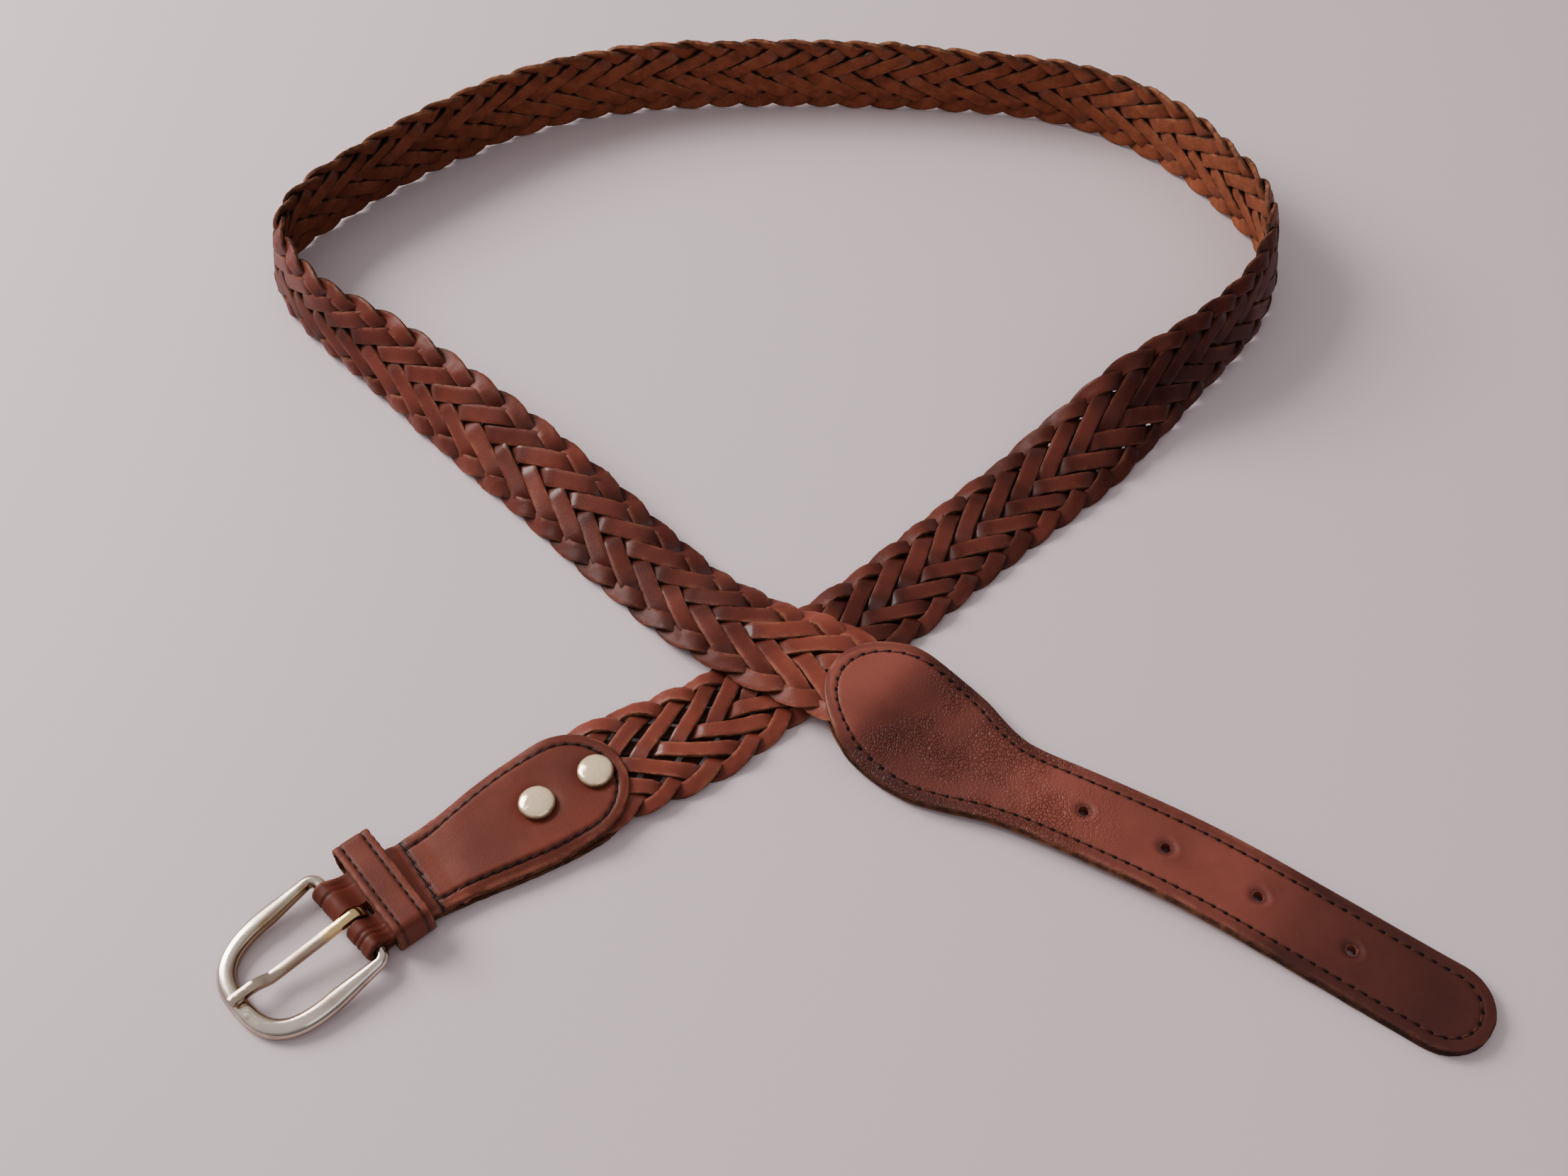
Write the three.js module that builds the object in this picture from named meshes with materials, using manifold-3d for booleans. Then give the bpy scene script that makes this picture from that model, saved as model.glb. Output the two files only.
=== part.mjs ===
// Braided leather belt lying in a crossed loop: a nine-strand band that stands on its edge round
// the back, a stitched tip piece with four holes, and a riveted chape with its keeper and buckle.
// Millimetres, +Z up, X to the right and Y away; the origin is under the middle of the box.

import * as THREE from 'three';
import Module from 'manifold-3d';
import { mergeVertices } from 'three/addons/utils/BufferGeometryUtils.js';

const wasm = await Module();
wasm.setup();

// driving dimensions

// lengths along the belt, from the buckle bar to the end of the tip
const chapeLength = 79;
const braidLength = 905;
const tipLength = 187;

// braid
const braidWidth = 29.5;
const braidThickness = 3;
const pressedShare = 0.72;
const scallopPitch = 11.5;
const scallopDepth = 1.5;
const braidRim = 2.6;
const braidInChape = 54;
const braidInTip = 23;

// leather of the chape and the tip piece
const leatherThickness = 1.5;
const layerGap = 0.3;
const chapeWidth = 23.6;
const chapeOvalWidth = 33.6;
const chapeOvalNose = 16.8;
const tipWidth = 24.4;
const tipOvalWidth = 39;
const tipOvalNose = 26;
const tipNose = 12.2;
const strapArch = 2.6;
const drapeRun = 26;
const drapeMargin = 3;

// holes of the tip piece
const holeDiameter = 2.8;
const holePitch = 25.2;
const firstHolePitch = 22.4;
const lastHoleFromEnd = 36.5;

// keeper
const keeperWidth = 10.4;
const keeperThickness = 1.4;
const keeperFromBar = 5.4;
const keeperInnerWidth = 28.3;
const keeperShift = 1.4;
const keeperTurn = 3.5;
const keeperSlot = 4.2;
const keeperCorner = 2.3;

// buckle
const frameRodWidth = 5;
const frameRodHeight = 3.4;
const barDiameter = 3.4;
const barClearance = 0.35;
const barRise = 0.85;
const frameInnerWidth = 25;
const frameHeelWidth = 30.2;
const frameReach = 32.5;
const frameShift = 0.8;
const frameCorner = 2.4;
const frameTaper = 9;
const prongWidth = 2.8;
const prongThickness = 2;
const prongClearance = 0.3;
const prongOverhang = 1.5;
const prongShift = -1;
const prongTurn = 5.5;
const slotClearance = 0.7;
const slotWidth = 4.6;

// rivets
const rivetCapDiameter = 9.6;
const rivetCapHeight = 2;
const rivetPostDiameter = 3;
const rivetBackDiameter = 7.6;
const rivetBackThickness = 0.8;
const rivetFromChapeEnd = 7.8;
const rivetPitch = 17.3;

// route and posture, each row at a share of its own piece's length

const chapeRoute = [
  { at: 0, heading: 44.4 },
  { at: 0.05, heading: 41 },
  { at: 0.1, heading: 36.5 },
  { at: 0.2, heading: 34.5 },
  { at: 0.3, heading: 35.2 },
  { at: 0.5, heading: 35.9 },
  { at: 0.65, heading: 35 },
  { at: 0.8, heading: 33 },
  { at: 1, heading: 31 },
];

const braidRoute = [
  { at: 0.015, heading: 27 },
  { at: 0.04, heading: 41.5 },
  { at: 0.08, heading: 38.5 },
  { at: 0.12, heading: 44 },
  { at: 0.158, heading: 41 },
  { at: 0.197, heading: 37.5 },
  { at: 0.237, heading: 42.1 },
  { at: 0.266, heading: 51.6 },
  { at: 0.296, heading: 73.9 },
  { at: 0.326, heading: 114.9 },
  { at: 0.355, heading: 124.5 },
  { at: 0.395, heading: 148.5 },
  { at: 0.434, heading: 171.3 },
  { at: 0.474, heading: 174 },
  { at: 0.513, heading: 179.3 },
  { at: 0.553, heading: 182 },
  { at: 0.592, heading: 193.9 },
  { at: 0.632, heading: 210.4 },
  { at: 0.661, heading: 218.7 },
  { at: 0.691, heading: 223 },
  { at: 0.72, heading: 231.9 },
  { at: 0.75, heading: 299.2 },
  { at: 0.789, heading: 322.7 },
  { at: 0.829, heading: 319 },
  { at: 0.868, heading: 319.7 },
  { at: 0.908, heading: 316 },
  { at: 0.947, heading: 316.7 },
  { at: 0.987, heading: 334.8 },
];

const tipRoute = [
  { at: 0.03, heading: 327.7 },
  { at: 0.12, heading: 316.2 },
  { at: 0.22, heading: 323.6 },
  { at: 0.336, heading: 333.5 },
  { at: 0.486, heading: 331.7 },
  { at: 0.686, heading: 326.3 },
  { at: 0.936, heading: 325.4 },
];

// lean of the band, 0 flat and 90 on its edge
const braidTilt = [
  { at: 0.12, tilt: 0 },
  { at: 0.16, tilt: 3 },
  { at: 0.187, tilt: 18 },
  { at: 0.209, tilt: 46 },
  { at: 0.229, tilt: 65.5 },
  { at: 0.246, tilt: 75 },
  { at: 0.264, tilt: 79 },
  { at: 0.301, tilt: 80 },
  { at: 0.325, tilt: 82.6 },
  { at: 0.366, tilt: 86.5 },
  { at: 0.41, tilt: 82 },
  { at: 0.443, tilt: 80.5 },
  { at: 0.509, tilt: 85.7 },
  { at: 0.598, tilt: 85.2 },
  { at: 0.642, tilt: 83.3 },
  { at: 0.686, tilt: 81 },
  { at: 0.73, tilt: 80.2 },
  { at: 0.775, tilt: 79.5 },
  { at: 0.792, tilt: 71.5 },
  { at: 0.81, tilt: 61.3 },
  { at: 0.828, tilt: 53.5 },
  { at: 0.845, tilt: 46.5 },
  { at: 0.863, tilt: 36.5 },
  { at: 0.881, tilt: 28 },
  { at: 0.898, tilt: 20 },
  { at: 0.916, tilt: 11.5 },
  { at: 0.937, tilt: 5 },
  { at: 0.959, tilt: 2 },
  { at: 0.975, tilt: 0 },
];

// width is a share of braidWidth, press how far it is pressed between layers, and layers the
// leather layers under it
const braidSpread = [
  { at: -0.07, width: 0.9, press: 1, layers: 1 },
  { at: -0.04, width: 1, press: 1, layers: 1 },
  { at: 0, width: 1.17, press: 1, layers: 1 },
  { at: 0.01, width: 1.15, press: 0.5, layers: 0.5 },
  { at: 0.022, width: 1.12, press: 0, layers: 0 },
  { at: 0.05, width: 1.01, press: 0, layers: 0 },
  { at: 0.075, width: 1, press: 0, layers: 0 },
  { at: 0.68, width: 1, press: 0, layers: 0 },
  { at: 0.745, width: 0.93, press: 0, layers: 0 },
  { at: 0.94, width: 0.93, press: 0, layers: 0 },
  { at: 0.965, width: 0.98, press: 0, layers: 0 },
  { at: 0.985, width: 1.05, press: 0.25, layers: 0.3 },
  { at: 0.995, width: 1.08, press: 1, layers: 1 },
  { at: 1.005, width: 1.04, press: 1, layers: 1 },
  { at: 1.03, width: 0.96, press: 1, layers: 1 },
];

// width is the share of the way from the strap's width to its oval's width
const chapeOutline = [
  { at: 0, width: 0 },
  { at: 0.2, width: 0 },
  { at: 0.32, width: 0.07 },
  { at: 0.43, width: 0.36 },
  { at: 0.557, width: 0.73 },
  { at: 0.68, width: 0.96 },
  { at: 0.78, width: 1 },
];

const tipOutline = [
  { at: 0.139, width: 1 },
  { at: 0.17, width: 0.99 },
  { at: 0.203, width: 0.9 },
  { at: 0.241, width: 0.61 },
  { at: 0.275, width: 0.3 },
  { at: 0.31, width: 0.08 },
  { at: 0.36, width: 0 },
];

// bulge is how much of the braid's thickness lies between the two layers
const chapeBulge = [
  { at: 0, bulge: 0 },
  { at: 0.22, bulge: 0 },
  { at: 0.31, bulge: 0.55 },
  { at: 0.45, bulge: 1 },
  { at: 1, bulge: 1 },
];

const tipBulge = [
  { at: 0, bulge: 1 },
  { at: 0.09, bulge: 1 },
  { at: 0.125, bulge: 0.72 },
  { at: 0.2, bulge: 0.12 },
  { at: 0.25, bulge: 0 },
  { at: 1, bulge: 0 },
];

// height of the strap above the table, a share of strapArch
const tipArch = [
  { at: 0, height: 0 },
  { at: 0.22, height: 0.55 },
  { at: 0.4, height: 1 },
  { at: 0.55, height: 0.95 },
  { at: 0.75, height: 0.4 },
  { at: 0.92, height: 0 },
  { at: 1, height: 0 },
];

// prong height above the frame's plane, a share of its height where it lies on the frame
const prongShape = [
  { at: 0.12, height: 0.86 },
  { at: 0.24, height: 0.52 },
  { at: 0.58, height: 0.42 },
  { at: 0.7, height: 0.6 },
  { at: 0.8, height: 0.96 },
  { at: 0.88, height: 1 },
  { at: 1, height: 1 },
];

// route of the belt

const rad = THREE.MathUtils.degToRad;
const routeStep = 1;
const totalLength = chapeLength + braidLength + tipLength;

const headings = [
  ...chapeRoute.map((r) => ({ at: r.at * chapeLength, heading: r.heading })),
  ...braidRoute.map((r) => ({ at: chapeLength + r.at * braidLength, heading: r.heading })),
  ...tipRoute.map((r) => ({
    at: chapeLength + braidLength + r.at * tipLength,
    heading: r.heading,
  })),
];

function lookUp(rows, at, column) {
  if (at <= rows[0].at) {
    return rows[0][column];
  }
  for (let i = 1; i < rows.length; i++) {
    if (at <= rows[i].at) {
      const low = rows[i - 1];
      const share = (at - low.at) / (rows[i].at - low.at);
      return low[column] + (rows[i][column] - low[column]) * share;
    }
  }
  return rows[rows.length - 1][column];
}

// slope at a row that keeps the curve between its neighbours' values
function rowSlope(rows, i, column) {
  if (i === 0 || i === rows.length - 1) {
    return 0;
  }
  const before = (rows[i][column] - rows[i - 1][column]) / (rows[i].at - rows[i - 1].at);
  const after = (rows[i + 1][column] - rows[i][column]) / (rows[i + 1].at - rows[i].at);
  return before * after > 0 ? (2 * before * after) / (before + after) : 0;
}

// the same along a smooth curve through the rows
function easeUp(rows, at, column) {
  if (at <= rows[0].at) {
    return rows[0][column];
  }
  for (let i = 1; i < rows.length; i++) {
    if (at <= rows[i].at) {
      const low = rows[i - 1];
      const span = rows[i].at - low.at;
      const t = (at - low.at) / span;
      const start = rowSlope(rows, i - 1, column) * span;
      const end = rowSlope(rows, i, column) * span;
      const rise = rows[i][column] - low[column];
      const bend = t * (t - 1) * ((t - 1) * start + t * end);
      return low[column] + rise * t * t * (3 - 2 * t) + bend;
    }
  }
  return rows[rows.length - 1][column];
}

const routePoints = [];
let routeX = 0;
let routeY = 0;
for (let s = 0; s <= totalLength + routeStep; s += routeStep) {
  routePoints.push(new THREE.Vector2(routeX, routeY));
  const angle = rad(lookUp(headings, s + routeStep / 2, 'heading'));
  routeX += Math.cos(angle) * routeStep;
  routeY += Math.sin(angle) * routeStep;
}

function routeAt(s) {
  const last = routePoints.length - 2;
  const i = THREE.MathUtils.clamp(Math.floor(s / routeStep), 0, last);
  const point = routePoints[i].clone().lerp(routePoints[i + 1], s / routeStep - i);
  const angle = rad(lookUp(headings, s, 'heading'));
  return {
    point,
    along: new THREE.Vector3(Math.cos(angle), Math.sin(angle), 0),
    side: new THREE.Vector3(-Math.sin(angle), Math.cos(angle), 0),
  };
}

// plan position at a distance along the belt and an offset to its left
function planAt(s, offset) {
  const { point, side } = routeAt(s);
  return new THREE.Vector2(point.x + side.x * offset, point.y + side.y * offset);
}

// how the upper run drapes over the lower one

const lowerRunEnd = chapeLength + braidLength * 0.3;
const upperRunStart = chapeLength + braidLength * 0.7;
const crossingHeight = braidThickness + layerGap;

function drapeAt(x, y) {
  let nearest = Infinity;
  for (let s = chapeLength; s < lowerRunEnd; s += 2) {
    const p = routePoints[Math.round(s / routeStep)];
    nearest = Math.min(nearest, Math.hypot(p.x - x, p.y - y));
  }
  const flat = braidWidth / 2 + drapeMargin;
  return crossingHeight * (1 - THREE.MathUtils.smoothstep(nearest, flat, flat + drapeRun));
}

// solids

function closedGeometry(points, triangles) {
  const geometry = new THREE.BufferGeometry();
  geometry.setAttribute('position', new THREE.Float32BufferAttribute(points.flat(), 3));
  geometry.setIndex(triangles.flat());
  let volume = 0;
  for (const [a, b, c] of triangles) {
    const [p, q, r] = [points[a], points[b], points[c]].map((v) => new THREE.Vector3(...v));
    volume += p.dot(q.cross(r));
  }
  if (volume < 0) {
    geometry.setIndex(triangles.flatMap(([a, b, c]) => [a, c, b]));
  }
  return geometry;
}

// a sheet with thickness: two grids of points with walls round their rims
function slab(upper, lower) {
  const rows = upper.length;
  const columns = upper[0].length;
  const points = [...upper.flat(), ...lower.flat()].map((p) => p.toArray());
  const triangles = [];
  const top = (i, j) => i * columns + j;
  const bottom = (i, j) => rows * columns + i * columns + j;
  const quad = (a, b, c, d) => triangles.push([a, b, c], [a, c, d]);
  for (let i = 0; i < rows - 1; i++) {
    for (let j = 0; j < columns - 1; j++) {
      quad(top(i, j), top(i + 1, j), top(i + 1, j + 1), top(i, j + 1));
      quad(bottom(i, j), bottom(i, j + 1), bottom(i + 1, j + 1), bottom(i + 1, j));
    }
    const end = columns - 1;
    quad(top(i, 0), bottom(i, 0), bottom(i + 1, 0), top(i + 1, 0));
    quad(top(i, end), top(i + 1, end), bottom(i + 1, end), bottom(i, end));
  }
  for (let j = 0; j < columns - 1; j++) {
    const end = rows - 1;
    quad(top(0, j), top(0, j + 1), bottom(0, j + 1), bottom(0, j));
    quad(top(end, j), bottom(end, j), bottom(end, j + 1), top(end, j + 1));
  }
  return closedGeometry(points, triangles);
}

// an oval rod swept along stations of { centre, across, up }
function rod(stations, halfAcross, halfUp, sides, closed) {
  const points = [];
  const triangles = [];
  for (const { centre, across, up } of stations) {
    for (let k = 0; k < sides; k++) {
      const angle = (2 * Math.PI * (k + 0.5)) / sides;
      const p = centre.clone();
      p.addScaledVector(across, Math.cos(angle) * halfAcross);
      p.addScaledVector(up, Math.sin(angle) * halfUp);
      points.push(p.toArray());
    }
  }
  const count = stations.length;
  for (let i = 0; i < (closed ? count : count - 1); i++) {
    const a = i * sides;
    const b = ((i + 1) % count) * sides;
    for (let k = 0; k < sides; k++) {
      const next = (k + 1) % sides;
      triangles.push([a + k, b + k, b + next], [a + k, b + next, a + next]);
    }
  }
  if (!closed) {
    const end = (count - 1) * sides;
    for (let k = 1; k < sides - 1; k++) {
      triangles.push([0, k, k + 1], [end, end + k + 1, end + k]);
    }
  }
  return closedGeometry(points, triangles);
}

function toSolid(geometry) {
  const plain = geometry.clone();
  plain.deleteAttribute('normal');
  plain.deleteAttribute('uv');
  const merged = mergeVertices(plain, 1e-4);
  return new wasm.Manifold(
    new wasm.Mesh({
      numProp: 3,
      vertProperties: new Float32Array(merged.attributes.position.array),
      triVerts: new Uint32Array(merged.index.array),
    }),
  );
}

function toGeometry(solid) {
  const mesh = solid.getMesh();
  const geometry = new THREE.BufferGeometry();
  geometry.setAttribute('position', new THREE.BufferAttribute(mesh.vertProperties, 3));
  geometry.setIndex(new THREE.BufferAttribute(mesh.triVerts, 1));
  return geometry;
}

function cutBy(geometry, cutters) {
  const solid = cutters.reduce((body, cutter) => body.subtract(toSolid(cutter)), toSolid(geometry));
  return toGeometry(solid);
}

// an upright drill of a given diameter at a place along the belt
function drill(s, diameter, from, to, sides = 14) {
  const cylinder = new THREE.CylinderGeometry(diameter / 2, diameter / 2, to - from, sides);
  cylinder.rotateX(Math.PI / 2);
  const place = planAt(s, 0);
  cylinder.translate(place.x, place.y, (from + to) / 2);
  return cylinder;
}

// leather layers

const layerStep = leatherThickness + layerGap;
const braidSpace = braidThickness * pressedShare + layerGap;
const keeperLift = keeperThickness + layerGap;
const barRadius = barDiameter / 2;
const foldRadius = barRadius + barClearance;
const barHeight = barRise + foldRadius + leatherThickness;

// half the width of a strap with an oval and a rounded end
function strapHalf(outline, at, straight, oval, fromEnd, nose) {
  const half = (straight + (oval - straight) * easeUp(outline, at, 'width')) / 2;
  return fromEnd < nose ? half * Math.sqrt(1 - (1 - fromEnd / nose) ** 2) : half;
}

const endSliver = 0.15;

// distances from a round end, closer together where the outline turns in
function roundEnd(radius, steps) {
  const list = [];
  for (let i = 0; i <= steps; i++) {
    list.push(endSliver + (radius - endSliver) * (1 - Math.cos((Math.PI / 2) * (i / steps))));
  }
  return list;
}

const acrossShares = [-1, -0.72, -0.36, 0, 0.36, 0.72, 1];

function chapeHalf(u) {
  const at = u / chapeLength;
  return strapHalf(chapeOutline, at, chapeWidth, chapeOvalWidth, chapeLength - u, chapeOvalNose);
}

// underside of the chape's lower layer: over the keeper's strip, then down to the table
function chapeUnder(u) {
  if (u < keeperFromBar) {
    const share = THREE.MathUtils.smoothstep(u, 0, keeperFromBar - layerGap);
    return barRise + (keeperLift - barRise) * share;
  }
  const past = keeperFromBar + keeperWidth;
  return keeperLift * (1 - THREE.MathUtils.smoothstep(u, past, past + keeperWidth));
}

// underside of the chape's upper layer
function chapeUpper(u) {
  const closedUp = chapeUnder(u) + layerStep;
  if (u < keeperFromBar) {
    const share = THREE.MathUtils.smoothstep(u, 0, keeperFromBar - layerGap);
    return THREE.MathUtils.lerp(barHeight + foldRadius, closedUp, share);
  }
  return closedUp + braidSpace * easeUp(chapeBulge, u / chapeLength, 'bulge');
}

const foldSteps = 9;
const chapeShares = [
  0.71, 0.63, 0.55, 0.47, 0.41, 0.36, 0.31, 0.27, 0.235, 0.2, 0.13, 0.08, 0.06, 0.04, 0.02,
];
const chapeStations = [
  ...roundEnd(chapeOvalNose, 6).map((d) => chapeLength - d),
  ...chapeShares.map((share) => share * chapeLength),
];

function chapeRow(u, height) {
  return acrossShares.map((share) => {
    const p = planAt(u, share * chapeHalf(u));
    return new THREE.Vector3(p.x, p.y, height);
  });
}

function foldRow(angle, radius) {
  const { point, along } = routeAt(0);
  const back = -Math.sin(angle) * radius;
  return acrossShares.map((share) => {
    const p = planAt(0, share * chapeHalf(0));
    p.x += along.x * back;
    p.y += along.y * back;
    return new THREE.Vector3(p.x, p.y, barHeight - Math.cos(angle) * radius);
  });
}

const chapeOuter = chapeStations.map((u) => chapeRow(u, chapeUnder(u)));
const chapeInner = chapeStations.map((u) => chapeRow(u, chapeUnder(u) + leatherThickness));
for (let i = 0; i <= foldSteps; i++) {
  const angle = (Math.PI * i) / foldSteps;
  chapeOuter.push(foldRow(angle, foldRadius + leatherThickness));
  chapeInner.push(foldRow(angle, foldRadius));
}
for (const u of [...chapeStations].reverse()) {
  chapeOuter.push(chapeRow(u, chapeUpper(u) + leatherThickness));
  chapeInner.push(chapeRow(u, chapeUpper(u)));
}

// the slot that the prong turns in, a disc round the bar
const prongLoop = barRadius + prongClearance + prongThickness / 2;
const slotRadius = prongLoop + prongThickness / 2 + slotClearance;
const barAcross = routeAt(0).side;
const slotCutter = new THREE.CylinderGeometry(slotRadius, slotRadius, slotWidth, 24);
slotCutter.applyQuaternion(
  new THREE.Quaternion().setFromUnitVectors(new THREE.Vector3(0, 1, 0), barAcross),
);
slotCutter.translate(barAcross.x * prongShift, barAcross.y * prongShift, barHeight);

const rivetPlaces = [rivetFromChapeEnd, rivetFromChapeEnd + rivetPitch].map(
  (d) => chapeLength - d,
);
const postHole = rivetPostDiameter + 2 * layerGap;
const backHole = rivetBackDiameter + 2 * layerGap;
const throughTop = 20;
const rivetDrills = rivetPlaces.map((s) => drill(s, postHole, -1, throughTop));
const backDrills = rivetPlaces.map((s) => drill(s, backHole, -1, rivetBackThickness + layerGap));
const chape = cutBy(slab(chapeOuter, chapeInner), [slotCutter, ...rivetDrills, ...backDrills]);

// tip piece

const tipStart = chapeLength + braidLength;

function tipHalf(u) {
  const near = u < tipLength / 2;
  const fromEnd = near ? u : tipLength - u;
  const nose = near ? tipOvalNose : tipNose;
  return strapHalf(tipOutline, u / tipLength, tipWidth, tipOvalWidth, fromEnd, nose);
}

const tipShares = [
  0.17, 0.2, 0.23, 0.26, 0.29, 0.33, 0.38, 0.44, 0.51, 0.58, 0.65, 0.72, 0.79, 0.86, 0.91,
];
const tipStations = [
  ...roundEnd(tipOvalNose, 7),
  ...tipShares.map((share) => share * tipLength),
  ...roundEnd(tipNose, 5).reverse().map((d) => tipLength - d),
];

function tipUnder(u, x, y) {
  return drapeAt(x, y) + strapArch * easeUp(tipArch, u / tipLength, 'height');
}

function tipRow(u, rise) {
  return acrossShares.map((share) => {
    const p = planAt(tipStart + u, share * tipHalf(u));
    return new THREE.Vector3(p.x, p.y, tipUnder(u, p.x, p.y) + rise);
  });
}

function tipBulgeAt(u) {
  return braidSpace * easeUp(tipBulge, u / tipLength, 'bulge');
}

const tipBottomSolid = slab(
  tipStations.map((u) => tipRow(u, leatherThickness)),
  tipStations.map((u) => tipRow(u, 0)),
);
const tipTopSolid = slab(
  tipStations.map((u) => tipRow(u, layerStep + tipBulgeAt(u) + leatherThickness)),
  tipStations.map((u) => tipRow(u, layerStep + tipBulgeAt(u))),
);

const holePlaces = [0, 1, 2].map((i) => totalLength - lastHoleFromEnd - i * holePitch);
holePlaces.push(holePlaces[2] - firstHolePitch);
const holeDrills = holePlaces.map((s) => drill(s, holeDiameter, -1, throughTop, 12));
const tipTop = cutBy(tipTopSolid, holeDrills);
const tipBottom = cutBy(tipBottomSolid, holeDrills);

// braid

const braidStart = chapeLength - braidInChape;
const braidEnd = tipStart + braidInTip;

// the scalloped outline: a strand turns at each edge every scallopPitch, half a pitch apart
function scallop(s, phase) {
  const turn = s / scallopPitch + phase;
  return Math.abs(Math.sin(Math.PI * turn)) ** 0.7 * scallopDepth;
}

function braidTaper(s) {
  const near = THREE.MathUtils.smoothstep(s - braidStart, -4, chapeLength * 0.14);
  const far = THREE.MathUtils.smoothstep(braidEnd - s, -6, tipLength * 0.06);
  return Math.min(near, far);
}

function braidSection(s) {
  const share = (s - chapeLength) / braidLength;
  const { point, side } = routeAt(s);
  const tilt = rad(easeUp(braidTilt, share, 'tilt'));
  const half = (braidWidth / 2) * easeUp(braidSpread, share, 'width');
  const lift = layerStep * easeUp(braidSpread, share, 'layers');
  const press = THREE.MathUtils.lerp(1, pressedShare, easeUp(braidSpread, share, 'press'));
  const thick = (braidThickness / 2) * press * braidTaper(s);
  const across = side.clone().multiplyScalar(Math.cos(tilt));
  across.z = Math.sin(tilt);
  const face = side.clone().multiplyScalar(-Math.sin(tilt));
  face.z = Math.cos(tilt);
  const inner = half - scallopDepth + scallop(s, 0);
  const outer = half - scallopDepth + scallop(s, 0.5);
  const foot = half * Math.sin(tilt) + thick * Math.cos(tilt);
  const place = (v, h) => {
    const p = new THREE.Vector3(point.x, point.y, foot + lift);
    p.addScaledVector(across, v).addScaledVector(face, h);
    if (s > upperRunStart) {
      const flat = planAt(s, v * Math.cos(tilt));
      p.z += s > tipStart ? tipUnder(s - tipStart, flat.x, flat.y) : drapeAt(flat.x, flat.y);
    }
    return p;
  };
  const spots = [-outer, -outer + braidRim, inner - braidRim, inner];
  const depths = [0.6, 1, 1, 0.6];
  return {
    upper: spots.map((v, i) => place(v, thick * depths[i])),
    lower: spots.map((v, i) => place(v, -thick * depths[i])),
  };
}

const braidSteps = Math.round((braidEnd - braidStart) / (scallopPitch / 4));
const braidSections = [];
for (let i = 0; i <= braidSteps; i++) {
  braidSections.push(braidSection(braidStart + ((braidEnd - braidStart) * i) / braidSteps));
}
const braid = cutBy(
  slab(braidSections.map((r) => r.upper), braidSections.map((r) => r.lower)),
  rivetDrills,
);

// keeper

function roundedRect(path, halfWidth, low, high, corner) {
  path.moveTo(-halfWidth + corner, low);
  path.lineTo(halfWidth - corner, low);
  path.quadraticCurveTo(halfWidth, low, halfWidth, low + corner);
  path.lineTo(halfWidth, high - corner);
  path.quadraticCurveTo(halfWidth, high, halfWidth - corner, high);
  path.lineTo(-halfWidth + corner, high);
  path.quadraticCurveTo(-halfWidth, high, -halfWidth, high - corner);
  path.lineTo(-halfWidth, low + corner);
  path.quadraticCurveTo(-halfWidth, low, -halfWidth + corner, low);
  return path;
}

const keeperInnerHalf = keeperInnerWidth / 2;
const keeperCeiling = keeperLift + 2 * leatherThickness + layerGap + keeperSlot;
const keeperShape = roundedRect(new THREE.Shape(), keeperInnerHalf + keeperThickness, 0,
  keeperCeiling + keeperThickness, keeperCorner);
keeperShape.holes.push(roundedRect(new THREE.Path(), keeperInnerHalf, keeperThickness,
  keeperCeiling, keeperCorner - keeperThickness));
const keeper = new THREE.ExtrudeGeometry(keeperShape, {
  depth: keeperWidth,
  bevelEnabled: false,
  curveSegments: 5,
});
keeper.translate(keeperShift, 0, -keeperWidth / 2);
keeper.rotateY(rad(keeperTurn));
const keeperPlace = routeAt(keeperFromBar + keeperWidth / 2);
keeper.applyMatrix4(
  new THREE.Matrix4()
    .makeBasis(keeperPlace.side, new THREE.Vector3(0, 0, 1), keeperPlace.along)
    .setPosition(keeperPlace.point.x, keeperPlace.point.y, 0),
);

// buckle

const rodHalfWidth = frameRodWidth / 2;
const rodHalfHeight = frameRodHeight / 2;
const frameHalf = frameInnerWidth / 2 + rodHalfWidth;
const frameDrop = Math.asin((barHeight - rodHalfHeight) / frameReach);
const forward = routeAt(0).along.clone().multiplyScalar(-Math.cos(frameDrop));
forward.z = -Math.sin(frameDrop);
const frameUp = new THREE.Vector3().crossVectors(barAcross, forward);
const barCentre = new THREE.Vector3(0, 0, barHeight);

// point in the frame's plane: reach from the bar, offset along it, and height
function framePoint(reach, offset, height) {
  const p = barCentre.clone();
  p.addScaledVector(forward, reach).addScaledVector(barAcross, offset);
  return p.addScaledVector(frameUp, height);
}

// outline of the rod's centre as reach and offset: straight bar, small corners, and a squared bow
const bowStart = frameReach * 0.42;
const bowPower = 2.8;
const outline = [];
const heelHalf = frameHeelWidth / 2;
for (const share of [-0.99, -0.9, 0, 0.9, 0.99]) {
  outline.push([0, share * (heelHalf - frameCorner)]);
}
const cornerSteps = 4;
const corner = [];
for (let i = 0; i <= cornerSteps; i++) {
  const angle = (Math.PI / 2) * (i / cornerSteps);
  corner.push([
    frameCorner * (1 - Math.cos(angle)),
    heelHalf - frameCorner + frameCorner * Math.sin(angle),
  ]);
}
outline.push(...corner);
const bowSteps = 22;
for (let i = 0; i <= bowSteps; i++) {
  const angle = Math.PI / 2 - (Math.PI * i) / bowSteps;
  const c = Math.abs(Math.cos(angle)) ** (2 / bowPower);
  const n = Math.sign(Math.sin(angle)) * Math.abs(Math.sin(angle)) ** (2 / bowPower);
  outline.push([bowStart + (frameReach - bowStart) * c, frameHalf * n]);
}
outline.push(...corner.reverse().map(([reach, offset]) => [reach, -offset]));

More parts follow.
